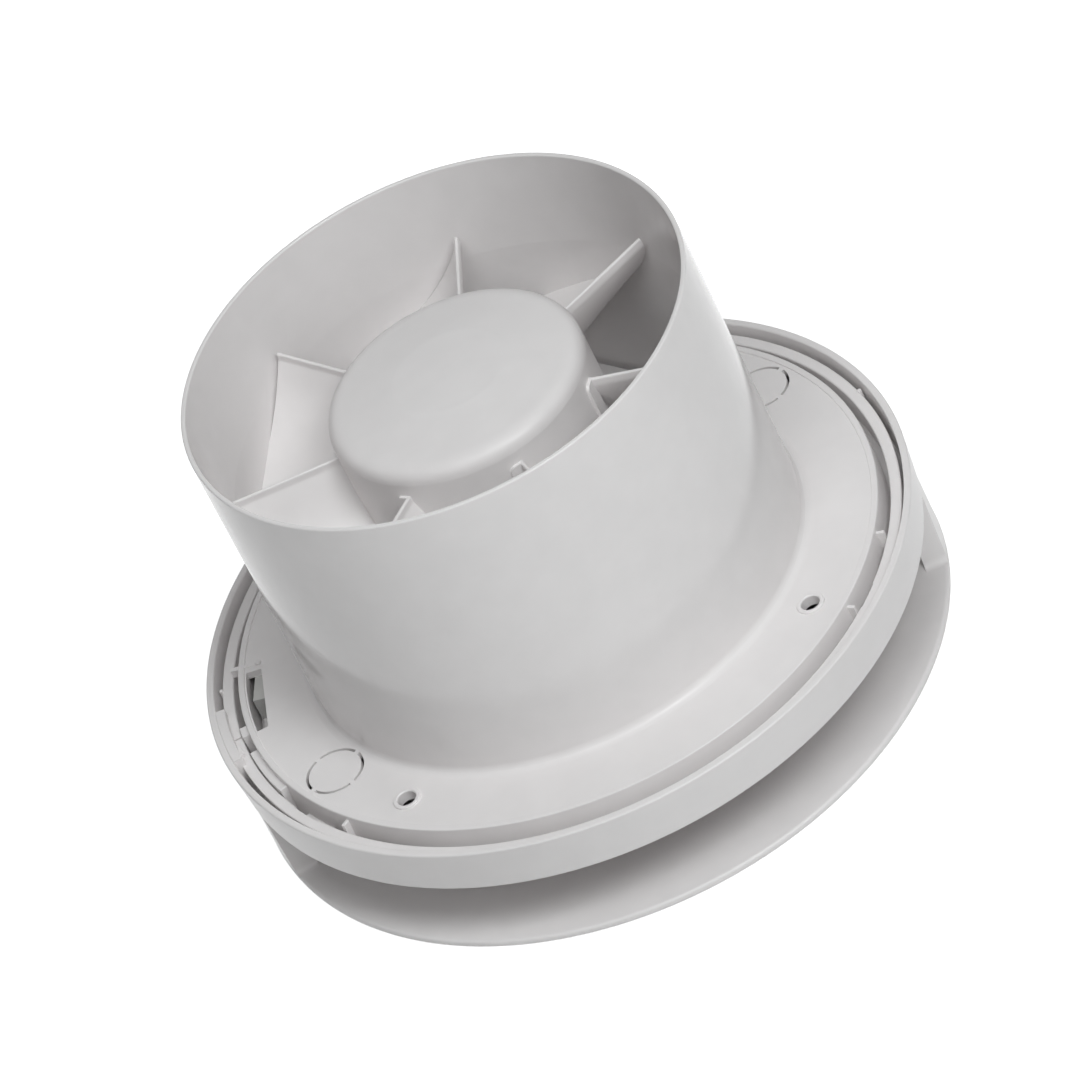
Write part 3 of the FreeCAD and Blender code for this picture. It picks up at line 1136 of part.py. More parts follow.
def main():
    """Build every piece and write one STEP file for each."""
    nodes = {
        "duct_housing": duct_housing(),
        "vane_carrier": vane_carrier(),
        "rubber_mounts": rubber_mounts(),
        "motor_screws": motor_screws(),
        "upper_motor_bracket": upper_motor_bracket(),
        "lower_motor_bracket": lower_motor_bracket(),
        "stator_core": stator_core(),
        "coil_bobbins": coil_bobbins(),
        "stator_coils": stator_coils(),
        "rotor_core": rotor_core(),
        "rotor_end_rings": rotor_end_rings(),
        "rotor_spacers": rotor_spacers(),
        "motor_shaft": motor_shaft(),
        "upper_bearing_inner_race": inner_race(UPPER_BEARING_HEIGHT),
        "upper_bearing_outer_race": outer_race(UPPER_BEARING_HEIGHT),
        "upper_bearing_balls": balls(UPPER_BEARING_HEIGHT),
        "lower_bearing_inner_race": inner_race(LOWER_BEARING_HEIGHT),
        "lower_bearing_outer_race": outer_race(LOWER_BEARING_HEIGHT),
        "lower_bearing_balls": balls(LOWER_BEARING_HEIGHT),
        "impeller": impeller(),
        "impeller_retainer": impeller_retainer(),
        "shaft_circlip": shaft_circlip(),
        "terminal_block": terminal_block(),
        "terminal_clamps": terminal_clamps(),
        "terminal_screws": terminal_screws(),
        "terminal_cover": terminal_cover(),
        "terminal_cover_screw": terminal_cover_screw(),
        "cable_clamp": cable_clamp(),
        "cable_clamp_screws": cable_clamp_screws(),
        "live_lead": live_lead(),
        "neutral_lead": neutral_lead(),
        "cover_ring": cover_ring(),
        "right_panel_support": panel_support(0),
        "left_panel_support": panel_support(FULL_TURN / 2),
        "front_panel": front_panel(),
    }
    os.makedirs("parts", exist_ok=True)
    for name, shape in nodes.items():
        box = shape.BoundBox
        print(f"{name}: {len(shape.Solids)} solids, valid {shape.isValid()}, volume {shape.Volume:.1f}, "
              f"z {box.ZMin:.2f} to {box.ZMax:.2f}, radius {max(box.XMax, box.YMax):.2f}")
        shape.exportStep(f"parts/{name}.step")


main()
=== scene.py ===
"""Looks of a bathroom exhaust fan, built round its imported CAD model.

Shapes are worked out in millimetres with numpy, round the fan's axis, which is +Z. Each becomes a mesh in
metres that lies where its CAD node lies. Angles are in degrees, from +X towards +Y.
"""
import json
import logging
import math
from abc import ABC, abstractmethod
from dataclasses import dataclass, field, replace
from enum import Enum

import bmesh
import bpy
import numpy as np
from bpy.types import ID, Material, Node, NodeSocket, Object
from mathutils import Matrix, Vector


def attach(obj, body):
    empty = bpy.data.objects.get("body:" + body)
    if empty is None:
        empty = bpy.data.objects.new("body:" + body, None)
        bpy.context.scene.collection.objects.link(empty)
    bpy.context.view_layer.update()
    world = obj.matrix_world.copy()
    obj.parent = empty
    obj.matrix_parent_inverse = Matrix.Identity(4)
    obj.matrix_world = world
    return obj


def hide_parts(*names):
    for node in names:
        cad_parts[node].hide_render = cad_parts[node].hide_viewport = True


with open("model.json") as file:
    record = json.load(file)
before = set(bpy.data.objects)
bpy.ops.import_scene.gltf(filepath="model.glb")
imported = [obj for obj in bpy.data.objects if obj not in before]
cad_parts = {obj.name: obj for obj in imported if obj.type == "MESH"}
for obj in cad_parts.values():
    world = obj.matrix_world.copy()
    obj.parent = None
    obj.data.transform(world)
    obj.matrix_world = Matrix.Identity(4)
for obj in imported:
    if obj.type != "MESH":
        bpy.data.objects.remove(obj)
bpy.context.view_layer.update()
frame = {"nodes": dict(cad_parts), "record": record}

log = logging.getLogger("exhaust_fan")

MM = 0.001
FULL_TURN = 360.0
FINE_STEPS = 320
MERGE_DISTANCE = 0.002 * MM
SMOOTH_ANGLE = math.radians(34.0)
ARC_STEP = math.radians(18.0)
GUARD_DISTANCE = 0.2
GUARDED_RUN = 1.2
ROUND_STEPS = 48
BEAM_EDGE = 0.2
SINK = 0.1
THROAT = 59.5
LEAD_ANGLE = 162.8
LEAD_WIDTH = 4.4

Corner = tuple[float, float, float]
Colour = tuple[float, float, float]


class Body(Enum):
    """The bodies that the new pieces ride on."""

    HOUSING = "housing"
    COVER = "cover"


class Cut(Enum):
    """What a tool does to a piece."""

    TAKE_AWAY = "DIFFERENCE"
    ADD = "UNION"


def unit(vector: np.ndarray) -> np.ndarray:
    """Return the vector at length one."""
    return vector / np.linalg.norm(vector)


def rounded(corners: list[Corner], guarded: bool = True) -> np.ndarray:
    """Return the points of a closed outline whose corners are arcs, one row each.

    An arc of radius R in a corner of half angle h touches both runs at R / tan(h) from the corner, and its
    centre lies R / sin(h) along the bisector. Long runs get a point close to each end, so that the
    shading of flat stretches stays flat.

    Args:
        corners: first coordinate, second coordinate and radius of each corner.
        guarded: whether long runs get their two extra points.
    """
    places = np.array([corner[:2] for corner in corners], float)
    stretches = []
    for index, (_, _, radius) in enumerate(corners):
        here = places[index]
        if radius == 0:
            stretches.append(here[None])
            continue
        back = unit(places[index - 1] - here)
        ahead = unit(places[(index + 1) % len(places)] - here)
        half = math.acos(float(np.clip(back @ ahead, -1, 1))) / 2
        centre = here + unit(back + ahead) * radius / math.sin(half)
        first = here + back * radius / math.tan(half) - centre
        last = here + ahead * radius / math.tan(half) - centre
        begin = math.atan2(first[1], first[0])
        sweep = (math.atan2(last[1], last[0]) - begin + math.pi) % (2 * math.pi) - math.pi
        count = max(2, math.ceil(abs(sweep) / ARC_STEP))
        angles = begin + sweep * np.linspace(0, 1, count + 1)
        stretches.append(centre + radius * np.column_stack([np.cos(angles), np.sin(angles)]))
    outline = np.concatenate(stretches)
    if not guarded:
        return outline
    follower = np.roll(outline, -1, axis=0)
    run = follower - outline
    length = np.linalg.norm(run, axis=1, keepdims=True)
    step = run / np.maximum(length, 1e-9) * GUARD_DISTANCE
    trio = np.stack([outline, outline + step, follower - step], axis=1)
    long = length[:, 0] > GUARDED_RUN
    keep = np.column_stack([np.ones(len(outline), bool), long, long])
    return trio[keep]


def polar(radius: float, angle: float) -> tuple[float, float]:
    """Return x and y of a place round the fan's axis."""
    turn = math.radians(angle)
    return radius * math.cos(turn), radius * math.sin(turn)


@dataclass
class Form:
    """A closed surface: its points in millimetres and its faces, in arrays of one face size each."""

    points: np.ndarray
    faces: list[np.ndarray]

    @classmethod
    def loft(cls, rings: np.ndarray, closed: bool = False, laddered: bool = False) -> "Form":
        """Return the surface that joins closed rings in order.

        Point (i, j) joins (i, j + 1) and (i + 1, j); j wraps, and i wraps too where the loft is closed.
        Otherwise the first and the last ring are filled, by one face or by rungs across the ring.

        Args:
            rings: array of rings, points and coordinates.
            closed: whether the last ring joins the first.
            laddered: whether rungs fill the ends, for rings that don't lie flat.
        """
        count, size = rings.shape[:2]
        index = np.arange(count * size).reshape(count, size)
        around = np.hstack([index, index[:, :1]])
        if closed:
            around = np.vstack([around, around[:1]])
        quads = np.stack([around[:-1, :-1], around[:-1, 1:], around[1:, 1:], around[1:, :-1]], axis=-1)
        faces = [quads.reshape(-1, 4)]
        if laddered:
            half = size // 2
            for end, way in ((index[0], 1), (index[-1], -1)):
                far = end[::-1]
                rungs = np.column_stack([end[:half - 1], far[:half - 1], far[1:half], end[1:half]])
                faces.append(rungs[:, ::way])
        elif not closed:
            faces += [index[:1, ::-1], index[-1:]]
        return cls(rings.reshape(-1, 3), faces)

    @classmethod
    def lathe(cls, outline: np.ndarray, middle: float = 0.0, half: float = FULL_TURN / 2,
              steps: int = FINE_STEPS) -> "Form":
        """Return the outline of radius and height turned round the axis.

        A point of radius r and height z goes to (r cos a, r sin a, z), for angles a from middle - half to
        middle + half.

        Args:
            outline: radius and height of each point.
            middle: angle at the middle of the turn.
            half: half of the turn; 180 closes it.
            steps: number of steps in the turn.
        """
        whole = half >= FULL_TURN / 2
        angles = np.radians(middle + half * np.linspace(-1, 1, steps + 1))
        angles = angles[:-1] if whole else angles
        radius, height = outline[:, 0], outline[:, 1]
        rings = np.stack([np.outer(np.cos(angles), radius), np.outer(np.sin(angles), radius),
                          np.broadcast_to(height, (len(angles), len(height)))], axis=-1)
        return cls.loft(rings, whole)

    @classmethod
    def beam(cls, inner: float, outer: float, low: float, high: float, width: float, angle: float) -> "Form":
        """Return a straight bar that runs outwards, with its section's upper edges rounded.

        Args:
            inner, outer: radii where it starts and ends.
            low, high: heights of its foot and top.
            width: its width across the run.
            angle: direction of the run.
        """
        half = width / 2
        corners = [(-half, low, 0), (half, low, 0), (half, high, BEAM_EDGE), (-half, high, BEAM_EDGE)]
        section = rounded(corners, False)
        rings = np.stack([np.column_stack([np.full(len(section), x), section]) for x in (inner, outer)])
        return cls.loft(rings).turned(angle)

    @classmethod
    def sector(cls, inner: float, outer: float, low: float, high: float, ends: tuple[float, float],
               edge: float = 0.0, steps: int = 14) -> "Form":
        """Return a piece of a flat ring.

        Args:
            inner, outer: its radii.
            low, high: heights of its foot and top.
            ends: angles where it starts and ends.
            edge: radius of the two upper edges.
            steps: number of steps from end to end.
        """
        outline = rounded([(inner, low, 0), (outer, low, 0), (outer, high, edge), (inner, high, edge)], False)
        return cls.lathe(outline, sum(ends) / 2, (ends[1] - ends[0]) / 2, steps)

    @classmethod
    def disc(cls, radius: float, low: float, high: float, place: tuple[float, float], edge: float = 0.0,
             steps: int = ROUND_STEPS) -> "Form":
        """Return an upright round bar with a rounded upper edge.

        Args:
            radius: its radius.
            low, high: heights of its foot and top.
            place: x and y of its middle.
            edge: radius of the upper edge.
            steps: number of steps round it.
        """
        outline = rounded([(0, low, 0), (radius, low, 0), (radius, high, edge), (0, high, 0)], False)
        return cls.lathe(outline, steps=steps).moved(*place)

    def moved(self, x: float, y: float) -> "Form":
        """Return a copy moved sideways."""
        return Form(self.points + np.array([x, y, 0.0]), self.faces)

    def turned(self, angle: float) -> "Form":
        """Return a copy turned round the fan's axis."""
        cosine, sine = polar(1.0, angle)
        spin = np.array([[cosine, sine, 0], [-sine, cosine, 0], [0, 0, 1]])
        return Form(self.points @ spin, self.faces)


def wrapped(sideways: np.ndarray, height: np.ndarray, radius: np.ndarray | float,
            measured_at: np.ndarray | float) -> np.ndarray:
    """Return points laid round the axis: the angle is the sideways way over the radius it is measured at."""
    angles = sideways / measured_at
    return np.column_stack([radius * np.cos(angles), radius * np.sin(angles), height])


def show(name: str, data: ID) -> Object:
    """Return a new object with this data, linked to the scene."""
    shown = bpy.data.objects.new(name, data)
    bpy.context.scene.collection.objects.link(shown)
    return shown


def make_piece(name: str, forms: list[Form]) -> Object:
    """Return an object whose mesh holds the forms, in metres, with closed poles and outward normals."""
    faces = []
    total = 0
    for form in forms:
        for group in form.faces:
            faces += (group + total).tolist()
        total += len(form.points)
    mesh = bpy.data.meshes.new(name)
    mesh.from_pydata(np.concatenate([form.points for form in forms]) * MM, [], faces)
    work = bmesh.new()
    work.from_mesh(mesh)
    bmesh.ops.remove_doubles(work, verts=work.verts, dist=MERGE_DISTANCE)
    bmesh.ops.recalc_face_normals(work, faces=work.faces)
    work.to_mesh(mesh)
    work.free()
    return show(name, mesh)


def work_on(piece: Object, forms: list[Form], cut: Cut) -> None:
    """Add forms to a piece or cut them out of it, and keep the result as its mesh."""
    tool = make_piece(piece.name + "_tool", forms)
    step = piece.modifiers.new("step", "BOOLEAN")
    step.operation = cut.value
    step.solver = "EXACT"
    step.object = tool
    graph = bpy.context.evaluated_depsgraph_get()
    result = bpy.data.meshes.new_from_object(piece.evaluated_get(graph))
    piece.modifiers.clear()
    before, tool_mesh = piece.data, tool.data
    piece.data = result
    bpy.data.meshes.remove(before)
    bpy.data.objects.remove(tool)
    bpy.data.meshes.remove(tool_mesh)
    result.name = piece.name
    log.info("%s: %d forms worked in, %d faces", piece.name, len(forms), len(result.polygons))


def smooth(piece: Object, bevel: float) -> None:
    """Shade a piece smooth up to its sharp edges, which get a bevel of this many millimetres first."""
    piece.data.shade_smooth()
    piece.data.set_sharp_from_angle(angle=SMOOTH_ANGLE)
    if bevel > 0:
        edge = piece.modifiers.new("edges", "BEVEL")
        edge.width = bevel * MM
        edge.segments = 3
        edge.limit_method = "ANGLE"
        edge.angle_limit = SMOOTH_ANGLE
    weigh = piece.modifiers.new("shading", "WEIGHTED_NORMAL")
    weigh.keep_sharp = bevel == 0


class Value:
    """A number that a shader works out: a socket with arithmetic."""

    def __init__(self, graph: "Graph", socket: NodeSocket) -> None:
        """Hold the socket and the graph that it belongs to."""
        self.graph = graph
        self.socket = socket

    def _math(self, operation: str, first: object, second: object = 0.0) -> "Value":
        """Return the result of one Math node."""
        node = self.graph.node("ShaderNodeMath", {"operation": operation}, {0: first, 1: second})
        return Value(self.graph, node.outputs[0])

    def __add__(self, other: object) -> "Value":
        """Return the sum."""
        return self._math("ADD", self, other)

    __radd__ = __add__

    def __rsub__(self, other: object) -> "Value":
        """Return the other value less this one."""
        return self._math("SUBTRACT", other, self)

    def __mul__(self, other: object) -> "Value":
        """Return the product."""
        return self._math("MULTIPLY", self, other)

    __rmul__ = __mul__

    def wave(self) -> "Value":
        """Return the sine."""
        return self._math("SINE", self)

    def size(self) -> "Value":
        """Return the absolute value."""
        return self._math("ABSOLUTE", self)

    def larger(self, other: object) -> "Value":
        """Return the larger of two values."""
        return self._math("MAXIMUM", self, other)

    def between(self, low: float, high: float) -> "Value":
        """Return 0 at low, 1 at high and a smooth blend between them."""
        node = self.graph.node("ShaderNodeMapRange", {"interpolation_type": "SMOOTHSTEP"},
                               {"Value": self, "From Min": low, "From Max": high})
        return Value(self.graph, node.outputs[0])

    def around(self, middle: float, reach: float) -> "Value":
        """Return middle - reach where this is 0, and middle + reach where it is 1."""
        return middle - reach + 2 * reach * self


class Graph:
    """The node tree of one material, or of the surroundings."""

    def __init__(self, owner: ID, output: str = "ShaderNodeOutputMaterial") -> None:
        """Empty the tree of a material or world and give it an output of this type."""
        owner.use_nodes = True
        self.owner = owner
        self.tree = owner.node_tree
        self.tree.nodes.clear()
        self.output = self.node(output, {}, {})

    def node(self, kind: str, settings: dict, inputs: dict) -> Node:
        """Return a new node of this kind, with its settings, and a value or link for each named input."""
        node = self.tree.nodes.new(kind)
        for name, setting in settings.items():
            setattr(node, name, setting)
        for name, given in inputs.items():
            socket = node.inputs[name]
            if isinstance(given, Value):
                self.tree.links.new(given.socket, socket)
            elif isinstance(given, NodeSocket):
                self.tree.links.new(given, socket)
            else:
                socket.default_value = given
        return node

    def place(self) -> NodeSocket:
        """Return the piece's own coordinates, in metres."""
        return self.node("ShaderNodeTexCoord", {}, {}).outputs["Object"]

    def axes(self) -> tuple[Value, Value, Value]:
        """Return x, y and z of the piece's own coordinates."""
        split = self.node("ShaderNodeSeparateXYZ", {}, {0: self.place()})
        return tuple(Value(self, output) for output in split.outputs)

    def noise(self, scale: float, detail: float = 3.0) -> Value:
        """Return a cloudy value round 0.5, with this many clouds to the metre."""
        node = self.node("ShaderNodeTexNoise", {}, {"Vector": self.place(), "Scale": scale, "Detail": detail})
        return Value(self, node.outputs["Fac"])

    def bump(self, height: Value, depth: float) -> NodeSocket:
        """Return a normal that follows a height of this depth in metres."""
        node = self.node("ShaderNodeBump", {}, {"Height": height, "Distance": depth, "Strength": 1.0})
        return node.outputs["Normal"]

    def seen(self) -> Value:
        """Return 1 for rays from the camera, a reflection or a clear surface, and 0 for other rays."""
        path = self.node("ShaderNodeLightPath", {}, {})
        camera, glossy, clear = (Value(self, path.outputs[name])
                                 for name in ("Is Camera Ray", "Is Glossy Ray", "Is Transmission Ray"))
        return camera.larger(glossy).larger(clear)

    def close(self, shader: Node) -> ID:
        """Link the last shader to the output and return the material or world."""
        self.tree.links.new(shader.outputs[0], self.output.inputs[0])
        return self.owner

    def surface(self, inputs: dict) -> Material:
        """Close the graph with a principled shader and return the material."""
        return self.close(self.node("ShaderNodeBsdfPrincipled", {}, inputs))


def shade(colour: Colour, factor: float) -> Colour:
    """Return the colour, lighter or darker."""
    return tuple(min(1.0, channel * factor) for channel in colour)


@dataclass(frozen=True)
class Finish(ABC):
    """A finish of one colour, whose kinds say what the shader is fed with."""

    colour: Colour

    @abstractmethod
    def inputs(self, graph: Graph) -> dict:
        """Return the value or link of each of the shader's sockets."""

    def tones(self, share: Value, low: float, high: float) -> NodeSocket:
        """Return the colour times low where share is 0, and times high where it is 1."""
        first, second = ((*shade(self.colour, factor), 1.0) for factor in (low, high))
        node = share.graph.node("ShaderNodeMix", {"data_type": "RGBA"}, {0: share, 6: first, 7: second})
        return node.outputs[2]

    def dress(self, name: str) -> Material:
        """Return the material."""
        graph = Graph(bpy.data.materials.new(name))
        return graph.surface(self.inputs(graph))


@dataclass(frozen=True)
class MouldedPlastic(Finish):
    """Injection-moulded plastic: cloudy by a percent or two, and finely grained."""

    roughness: float = 0.3
    spread: float = 0.04
    cloud: float = 0.02
    cloud_scale: float = 26.0
    flow_scale: float = 140.0
    grain_scale: float = 3200.0
    grain_depth: float = 0.000004
    polished_above: float | None = None
    polished_blend: float = 0.6
    polish: float = 0.12
    polish_spread: float = 0.02
    sheen: float = 0.3

    def inputs(self, graph: Graph) -> dict:
        """Return what the shader is fed with. The surface may be smoother above a height."""
        clouds = graph.noise(self.cloud_scale)
        flow = graph.noise(self.flow_scale, 2.0)
        grain = graph.noise(self.grain_scale, 2.0)
        tint = (0.6 * clouds + 0.4 * flow).between(0.3, 0.7)
        rough = flow.around(self.roughness, self.spread)
        if self.polished_above is not None:
            height = graph.axes()[2]
            share = height.between((self.polished_above - self.polished_blend) * MM,
                                   (self.polished_above + self.polished_blend) * MM)
            rough = rough * (1.0 - share) + share * flow.around(self.polish, self.polish_spread)
        return {
            "Base Color": self.tones(tint, 1 - self.cloud, 1 + self.cloud),
            "Roughness": rough,
            "Specular IOR Level": self.sheen,
            "Normal": graph.bump(grain, self.grain_depth),
        }


@dataclass(frozen=True)
class PlainMetal(Finish):
    """Plated, ground or cast metal."""

    roughness: float = 0.3
    spread: float = 0.06
    patch_scale: float = 220.0
    texture_scale: float = 900.0
    texture_depth: float = 0.00001

    def inputs(self, graph: Graph) -> dict:
        """Return what the shader is fed with."""
        patches = graph.noise(self.patch_scale)
        texture = graph.noise(self.texture_scale, 4.0)
        return {
            "Base Color": self.tones(patches.between(0.35, 0.65), 0.9, 1.08),
            "Metallic": 1.0,
            "Roughness": patches.around(self.roughness, self.spread),
            "Normal": graph.bump(texture, self.texture_depth),
        }


@dataclass(frozen=True)
class SheetStack(Finish):
    """Stamped steel sheets, stacked along the axis."""

    roughness: float = 0.45
    spread: float = 0.07
    sheet: float = 0.5
    line_depth: float = 0.00006
    oxide_scale: float = 300.0

    def inputs(self, graph: Graph) -> dict:
        """Return what the shader is fed with. The line runs as the sine of the height, once to each sheet."""
        height = graph.axes()[2]
        line = (height * (2 * math.pi / (self.sheet * MM))).wave().between(-1.0, -0.4)
        oxide = graph.noise(self.oxide_scale)
        return {
            "Base Color": self.tones(line * (0.5 + 0.5 * oxide), 0.35, 1.0),
            "Metallic": 0.85,
            "Roughness": oxide.around(self.roughness, self.spread),
            "Normal": graph.bump(line, self.line_depth),
        }


@dataclass(frozen=True)
class WoundWire(Finish):
    """Enamelled wire, laid side by side round a square bobbin."""

    roughness: float = 0.29
    spread: float = 0.05
    wire: float = 0.45
    turn_depth: float = 0.00012
    heat_scale: float = 180.0

    def inputs(self, graph: Graph) -> dict:
        """Return what the shader is fed with. The turns run as the sine of the way along the pole."""
        x, y, _ = graph.axes()
        along = x.size().larger(y.size())
        turns = (along * (2 * math.pi / (self.wire * MM))).wave().between(-1.0, 0.6)
        heat = graph.noise(self.heat_scale)
        return {
            "Base Color": self.tones(turns * (0.7 + 0.3 * heat), 0.3, 1.0),
            "Metallic": 0.9,
            "Roughness": heat.around(self.roughness, self.spread),
            "Normal": graph.bump(turns, self.turn_depth),
        }


@dataclass(frozen=True)
class Rubber(Finish):
    """Black rubber with a dull bloom."""

    roughness: float = 0.72
    spread: float = 0.1
    bloom_scale: float = 400.0
    bloom_depth: float = 0.00004

    def inputs(self, graph: Graph) -> dict:
        """Return what the shader is fed with."""
        bloom = graph.noise(self.bloom_scale, 5.0)
        return {
            "Base Color": self.tones(bloom.between(0.4, 0.8), 1.0, 2.4),
            "Roughness": bloom.around(self.roughness, self.spread),
            "Normal": graph.bump(bloom, self.bloom_depth),
        }


WHITE = (0.818, 0.792, 0.789)
FINISHES = {
    "housing_plastic": MouldedPlastic(WHITE, roughness=0.34, polished_above=33.0, polish=0.13),
    "carrier_plastic": MouldedPlastic(WHITE, roughness=0.36),
    "cover_plastic": MouldedPlastic(WHITE, roughness=0.32),
    "impeller_plastic": MouldedPlastic(shade(WHITE, 0.97), roughness=0.42),
    "terminal_plastic": MouldedPlastic((0.55, 0.545, 0.53), roughness=0.45),
    "bobbin_plastic": MouldedPlastic((0.5, 0.45, 0.34), roughness=0.5, cloud=0.06),
    "mount_rubber": Rubber((0.02, 0.02, 0.02)),
    "zinc_steel": PlainMetal((0.62, 0.62, 0.6), roughness=0.34),
    "bearing_steel": PlainMetal((0.58, 0.58, 0.58), roughness=0.2, texture_depth=0.000003),
    "lamination_steel": SheetStack((0.3, 0.3, 0.32)),
    "cast_bracket": PlainMetal((0.6, 0.6, 0.62), roughness=0.48, texture_scale=1400.0, texture_depth=0.00004),
    "copper_wire": WoundWire((0.62, 0.26, 0.12)),
    "terminal_brass": PlainMetal((0.7, 0.53, 0.24), roughness=0.28),
    "live_insulation": MouldedPlastic((0.12, 0.045, 0.02), roughness=0.4, cloud=0.1),
    "neutral_insulation": MouldedPlastic((0.02, 0.07, 0.3), roughness=0.4, cloud=0.1),
}


class Wardrobe:
    """The finishes, one for each material slot of the record, and the CAD nodes that pieces stand for."""

    def __init__(self) -> None:
        """Make every material."""
        self.materials = {slot: finish.dress(slot) for slot, finish in FINISHES.items()}
        self.stood_for: set[str] = set()

    def dress(self, piece: Object, slot: str) -> None:
        """Give a piece the material of a slot."""
        piece.data.materials.clear()
        piece.data.materials.append(self.materials[slot])


@dataclass
class Part(ABC):
    """A new piece, which stands for a CAD node."""

    name: str
    node: str
    body: Body
    slot: str
    bevel: float = 0.0

    @abstractmethod
    def shell(self) -> Form:
        """Return the first form."""

    def additions(self) -> list[list[Form]]:
        """Return what is added to it, in steps."""
        return []

    def cuts(self) -> list[list[Form]]:
        """Return what is then cut out of it, in steps."""
        return []

    def build(self, wardrobe: Wardrobe) -> None:
        """Build, shade and dress the piece, and put it in its CAD node's place."""
        piece = make_piece(self.name, [self.shell()])
        for cut, steps in ((Cut.ADD, self.additions()), (Cut.TAKE_AWAY, self.cuts())):
            for forms in steps:
                work_on(piece, forms, cut)
        smooth(piece, self.bevel)
        wardrobe.dress(piece, self.slot)
        wardrobe.stood_for.add(self.node)
        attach(piece, self.body.value)
        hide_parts(self.node)
        triangles = sum(len(face.vertices) - 2 for face in piece.data.polygons)
        log.info("%s: %d triangles, on %s", piece.name, triangles, self.body.value)


@dataclass
class DuctHousing(Part):
    """Duct spigot and mounting plate, with screw collars, knockouts, wiring window and clip guides."""

    foot: float = 22.4
    plate_front: float = 30.2
    plate_back: float = 32.2
    top: float = 112.0
    spigot: float = 62.4
    mouth: float = 61.2
    flare_foot: float = 86.0
    rim_inner: float = 79.0
    plate: float = 80.8
    lip_width: float = 1.6
    lip_rise: float = 0.4
    flare: float = 0.25
    rim_flare_foot: float = 27.2
    foot_round: float = 2.0
    mouth_round: float = 0.45
    mouth_bend: float = 4.0
    inlet_chamfer: float = 1.2
    under_round: float = 0.5
    edge: float = 0.3
    lip_edge: float = 0.35
    fine_edge: float = 0.2
    block_edge: float = 0.15
    hole_circle: float = 71.8
    hole_half_angle: float = 43.8
    hole: float = 2.3
    hole_chamfer: float = 0.3
    collar: float = 3.4
    collar_rise: float = 0.6
    collar_foot: float = 29.9
    knockout_angles: tuple[float, ...] = (26.7, 203.8)
    knockout_circle: float = 71.1
    knockout: float = 6.95
    knockout_slot: float = 0.35
    slot_steps: int = 28
    bridge: float = 5.5
    window_ends: tuple[float, float] = (165.7, 181.9)
    window_inner: tuple[float, float] = (74.9, 76.0)
    window_outer: float = 78.8
    window_steps: int = 24
    rib_angle: float = 164.0
    rib_inner: float = 75.7
    rib_width: float = 1.2
    rib_rise: float = 0.3
    pin: float = 0.8
    pin_rise: float = 0.7
    pin_steps: int = 24
    clip_angles: tuple[float, ...] = (86.0, 206.0, 325.6)
    clip_half: float = 8.5
    guide_outer: float = 82.7
    guide_width: float = 0.9
    guide_top: float = 31.3
    tongue_half: float = 3.6
    tongue_reach: float = 1.1
    tongue_top: float = 26.0
    stop_middle: float = 179.6
    stop_half: float = 1.3
    shelf_middle: float = 191.0
    shelf_half: float = 6.0
    shelf_top: float = 30.9
    lead_top: float = 68.85
    lead_depth: float = 1.9
    notch_top: float = 29.6
    notch_slack: float = 0.02
    spare: float = 5.0
    hole_spare: float = 1.0
    slot_spare: float = 0.7
    root: float = 0.4

    def shell(self) -> Form:
        """Return the turned shell: one outline of wall, plate and rim, turned once round."""
        lip = self.plate - self.lip_width
        lip_top = self.plate_back + self.lip_rise
        return Form.lathe(rounded([
            (THROAT + self.inlet_chamfer, self.foot, 0),
            (self.spigot, self.foot, self.fine_edge),
            (self.spigot, self.plate_front, self.under_round),
            (self.rim_inner, self.plate_front, self.under_round),
            (self.rim_inner, self.foot, self.edge),
            (self.plate + self.flare, self.foot, self.edge),
            (self.plate + self.flare, self.rim_flare_foot, self.fine_edge),
            (self.plate, lip_top, self.lip_edge),
            (lip, lip_top, self.fine_edge),
            (lip, self.plate_back, self.block_edge),
            (self.spigot, self.plate_back, self.foot_round),
            (self.spigot, self.top, self.mouth_round),
            (self.mouth, self.top, self.mouth_round),
            (THROAT, self.flare_foot, self.mouth_bend),
            (THROAT, self.foot + self.inlet_chamfer, self.edge),
        ]))

    def hole_places(self) -> list[tuple[float, float]]:
        """Return x and y of the four screw holes."""
        half = self.hole_half_angle
        return [polar(self.hole_circle, angle) for angle in (half, 180 - half, 180 + half, -half)]

    def block(self, outer: float, top: float, middle: float, half: float) -> Form:
        """Return a block that stands out of the plate's rim, with its steps about a millimetre long."""
        steps = max(4, round(2 * outer * math.radians(half)))
        return Form.sector(self.rim_inner + self.root, outer, self.foot + SINK, top,
                           (middle - half, middle + half), self.block_edge, steps)

    def additions(self) -> list[list[Form]]:
        """Return what is added, in steps, as some of it overlaps.

        The collars, guide ribs, tongues and the window's rib come first, then the pin and the stop, and then
        the shelf.
        """
        collar_top = self.plate_back + self.collar_rise
        forms = [Form.disc(self.collar, self.collar_foot, collar_top, place, self.edge)
                 for place in self.hole_places()]
        for angle in self.clip_angles:
            for side in (-1, 1):
                forms.append(Form.beam(self.rim_inner + self.root, self.guide_outer, self.foot + SINK,
                                       self.guide_top, self.guide_width, angle + side * self.clip_half))
            forms.append(self.block(self.plate + self.tongue_reach, self.tongue_top, angle, self.tongue_half))
        forms.append(Form.beam(self.rib_inner, self.guide_outer, self.plate_front + SINK,
                               self.plate_back + self.rib_rise, self.rib_width, self.rib_angle))
        pin = Form.disc(self.pin, self.plate_front + 2 * SINK, self.plate_back + self.pin_rise,
                        polar(self.rib_inner, self.rib_angle), self.edge, self.pin_steps)
        stop = self.block(self.guide_outer, self.guide_top, self.stop_middle, self.stop_half)
        shelf = self.block(self.guide_outer, self.shelf_top, self.shelf_middle, self.shelf_half)
        return [forms, [pin, stop], [shelf]]

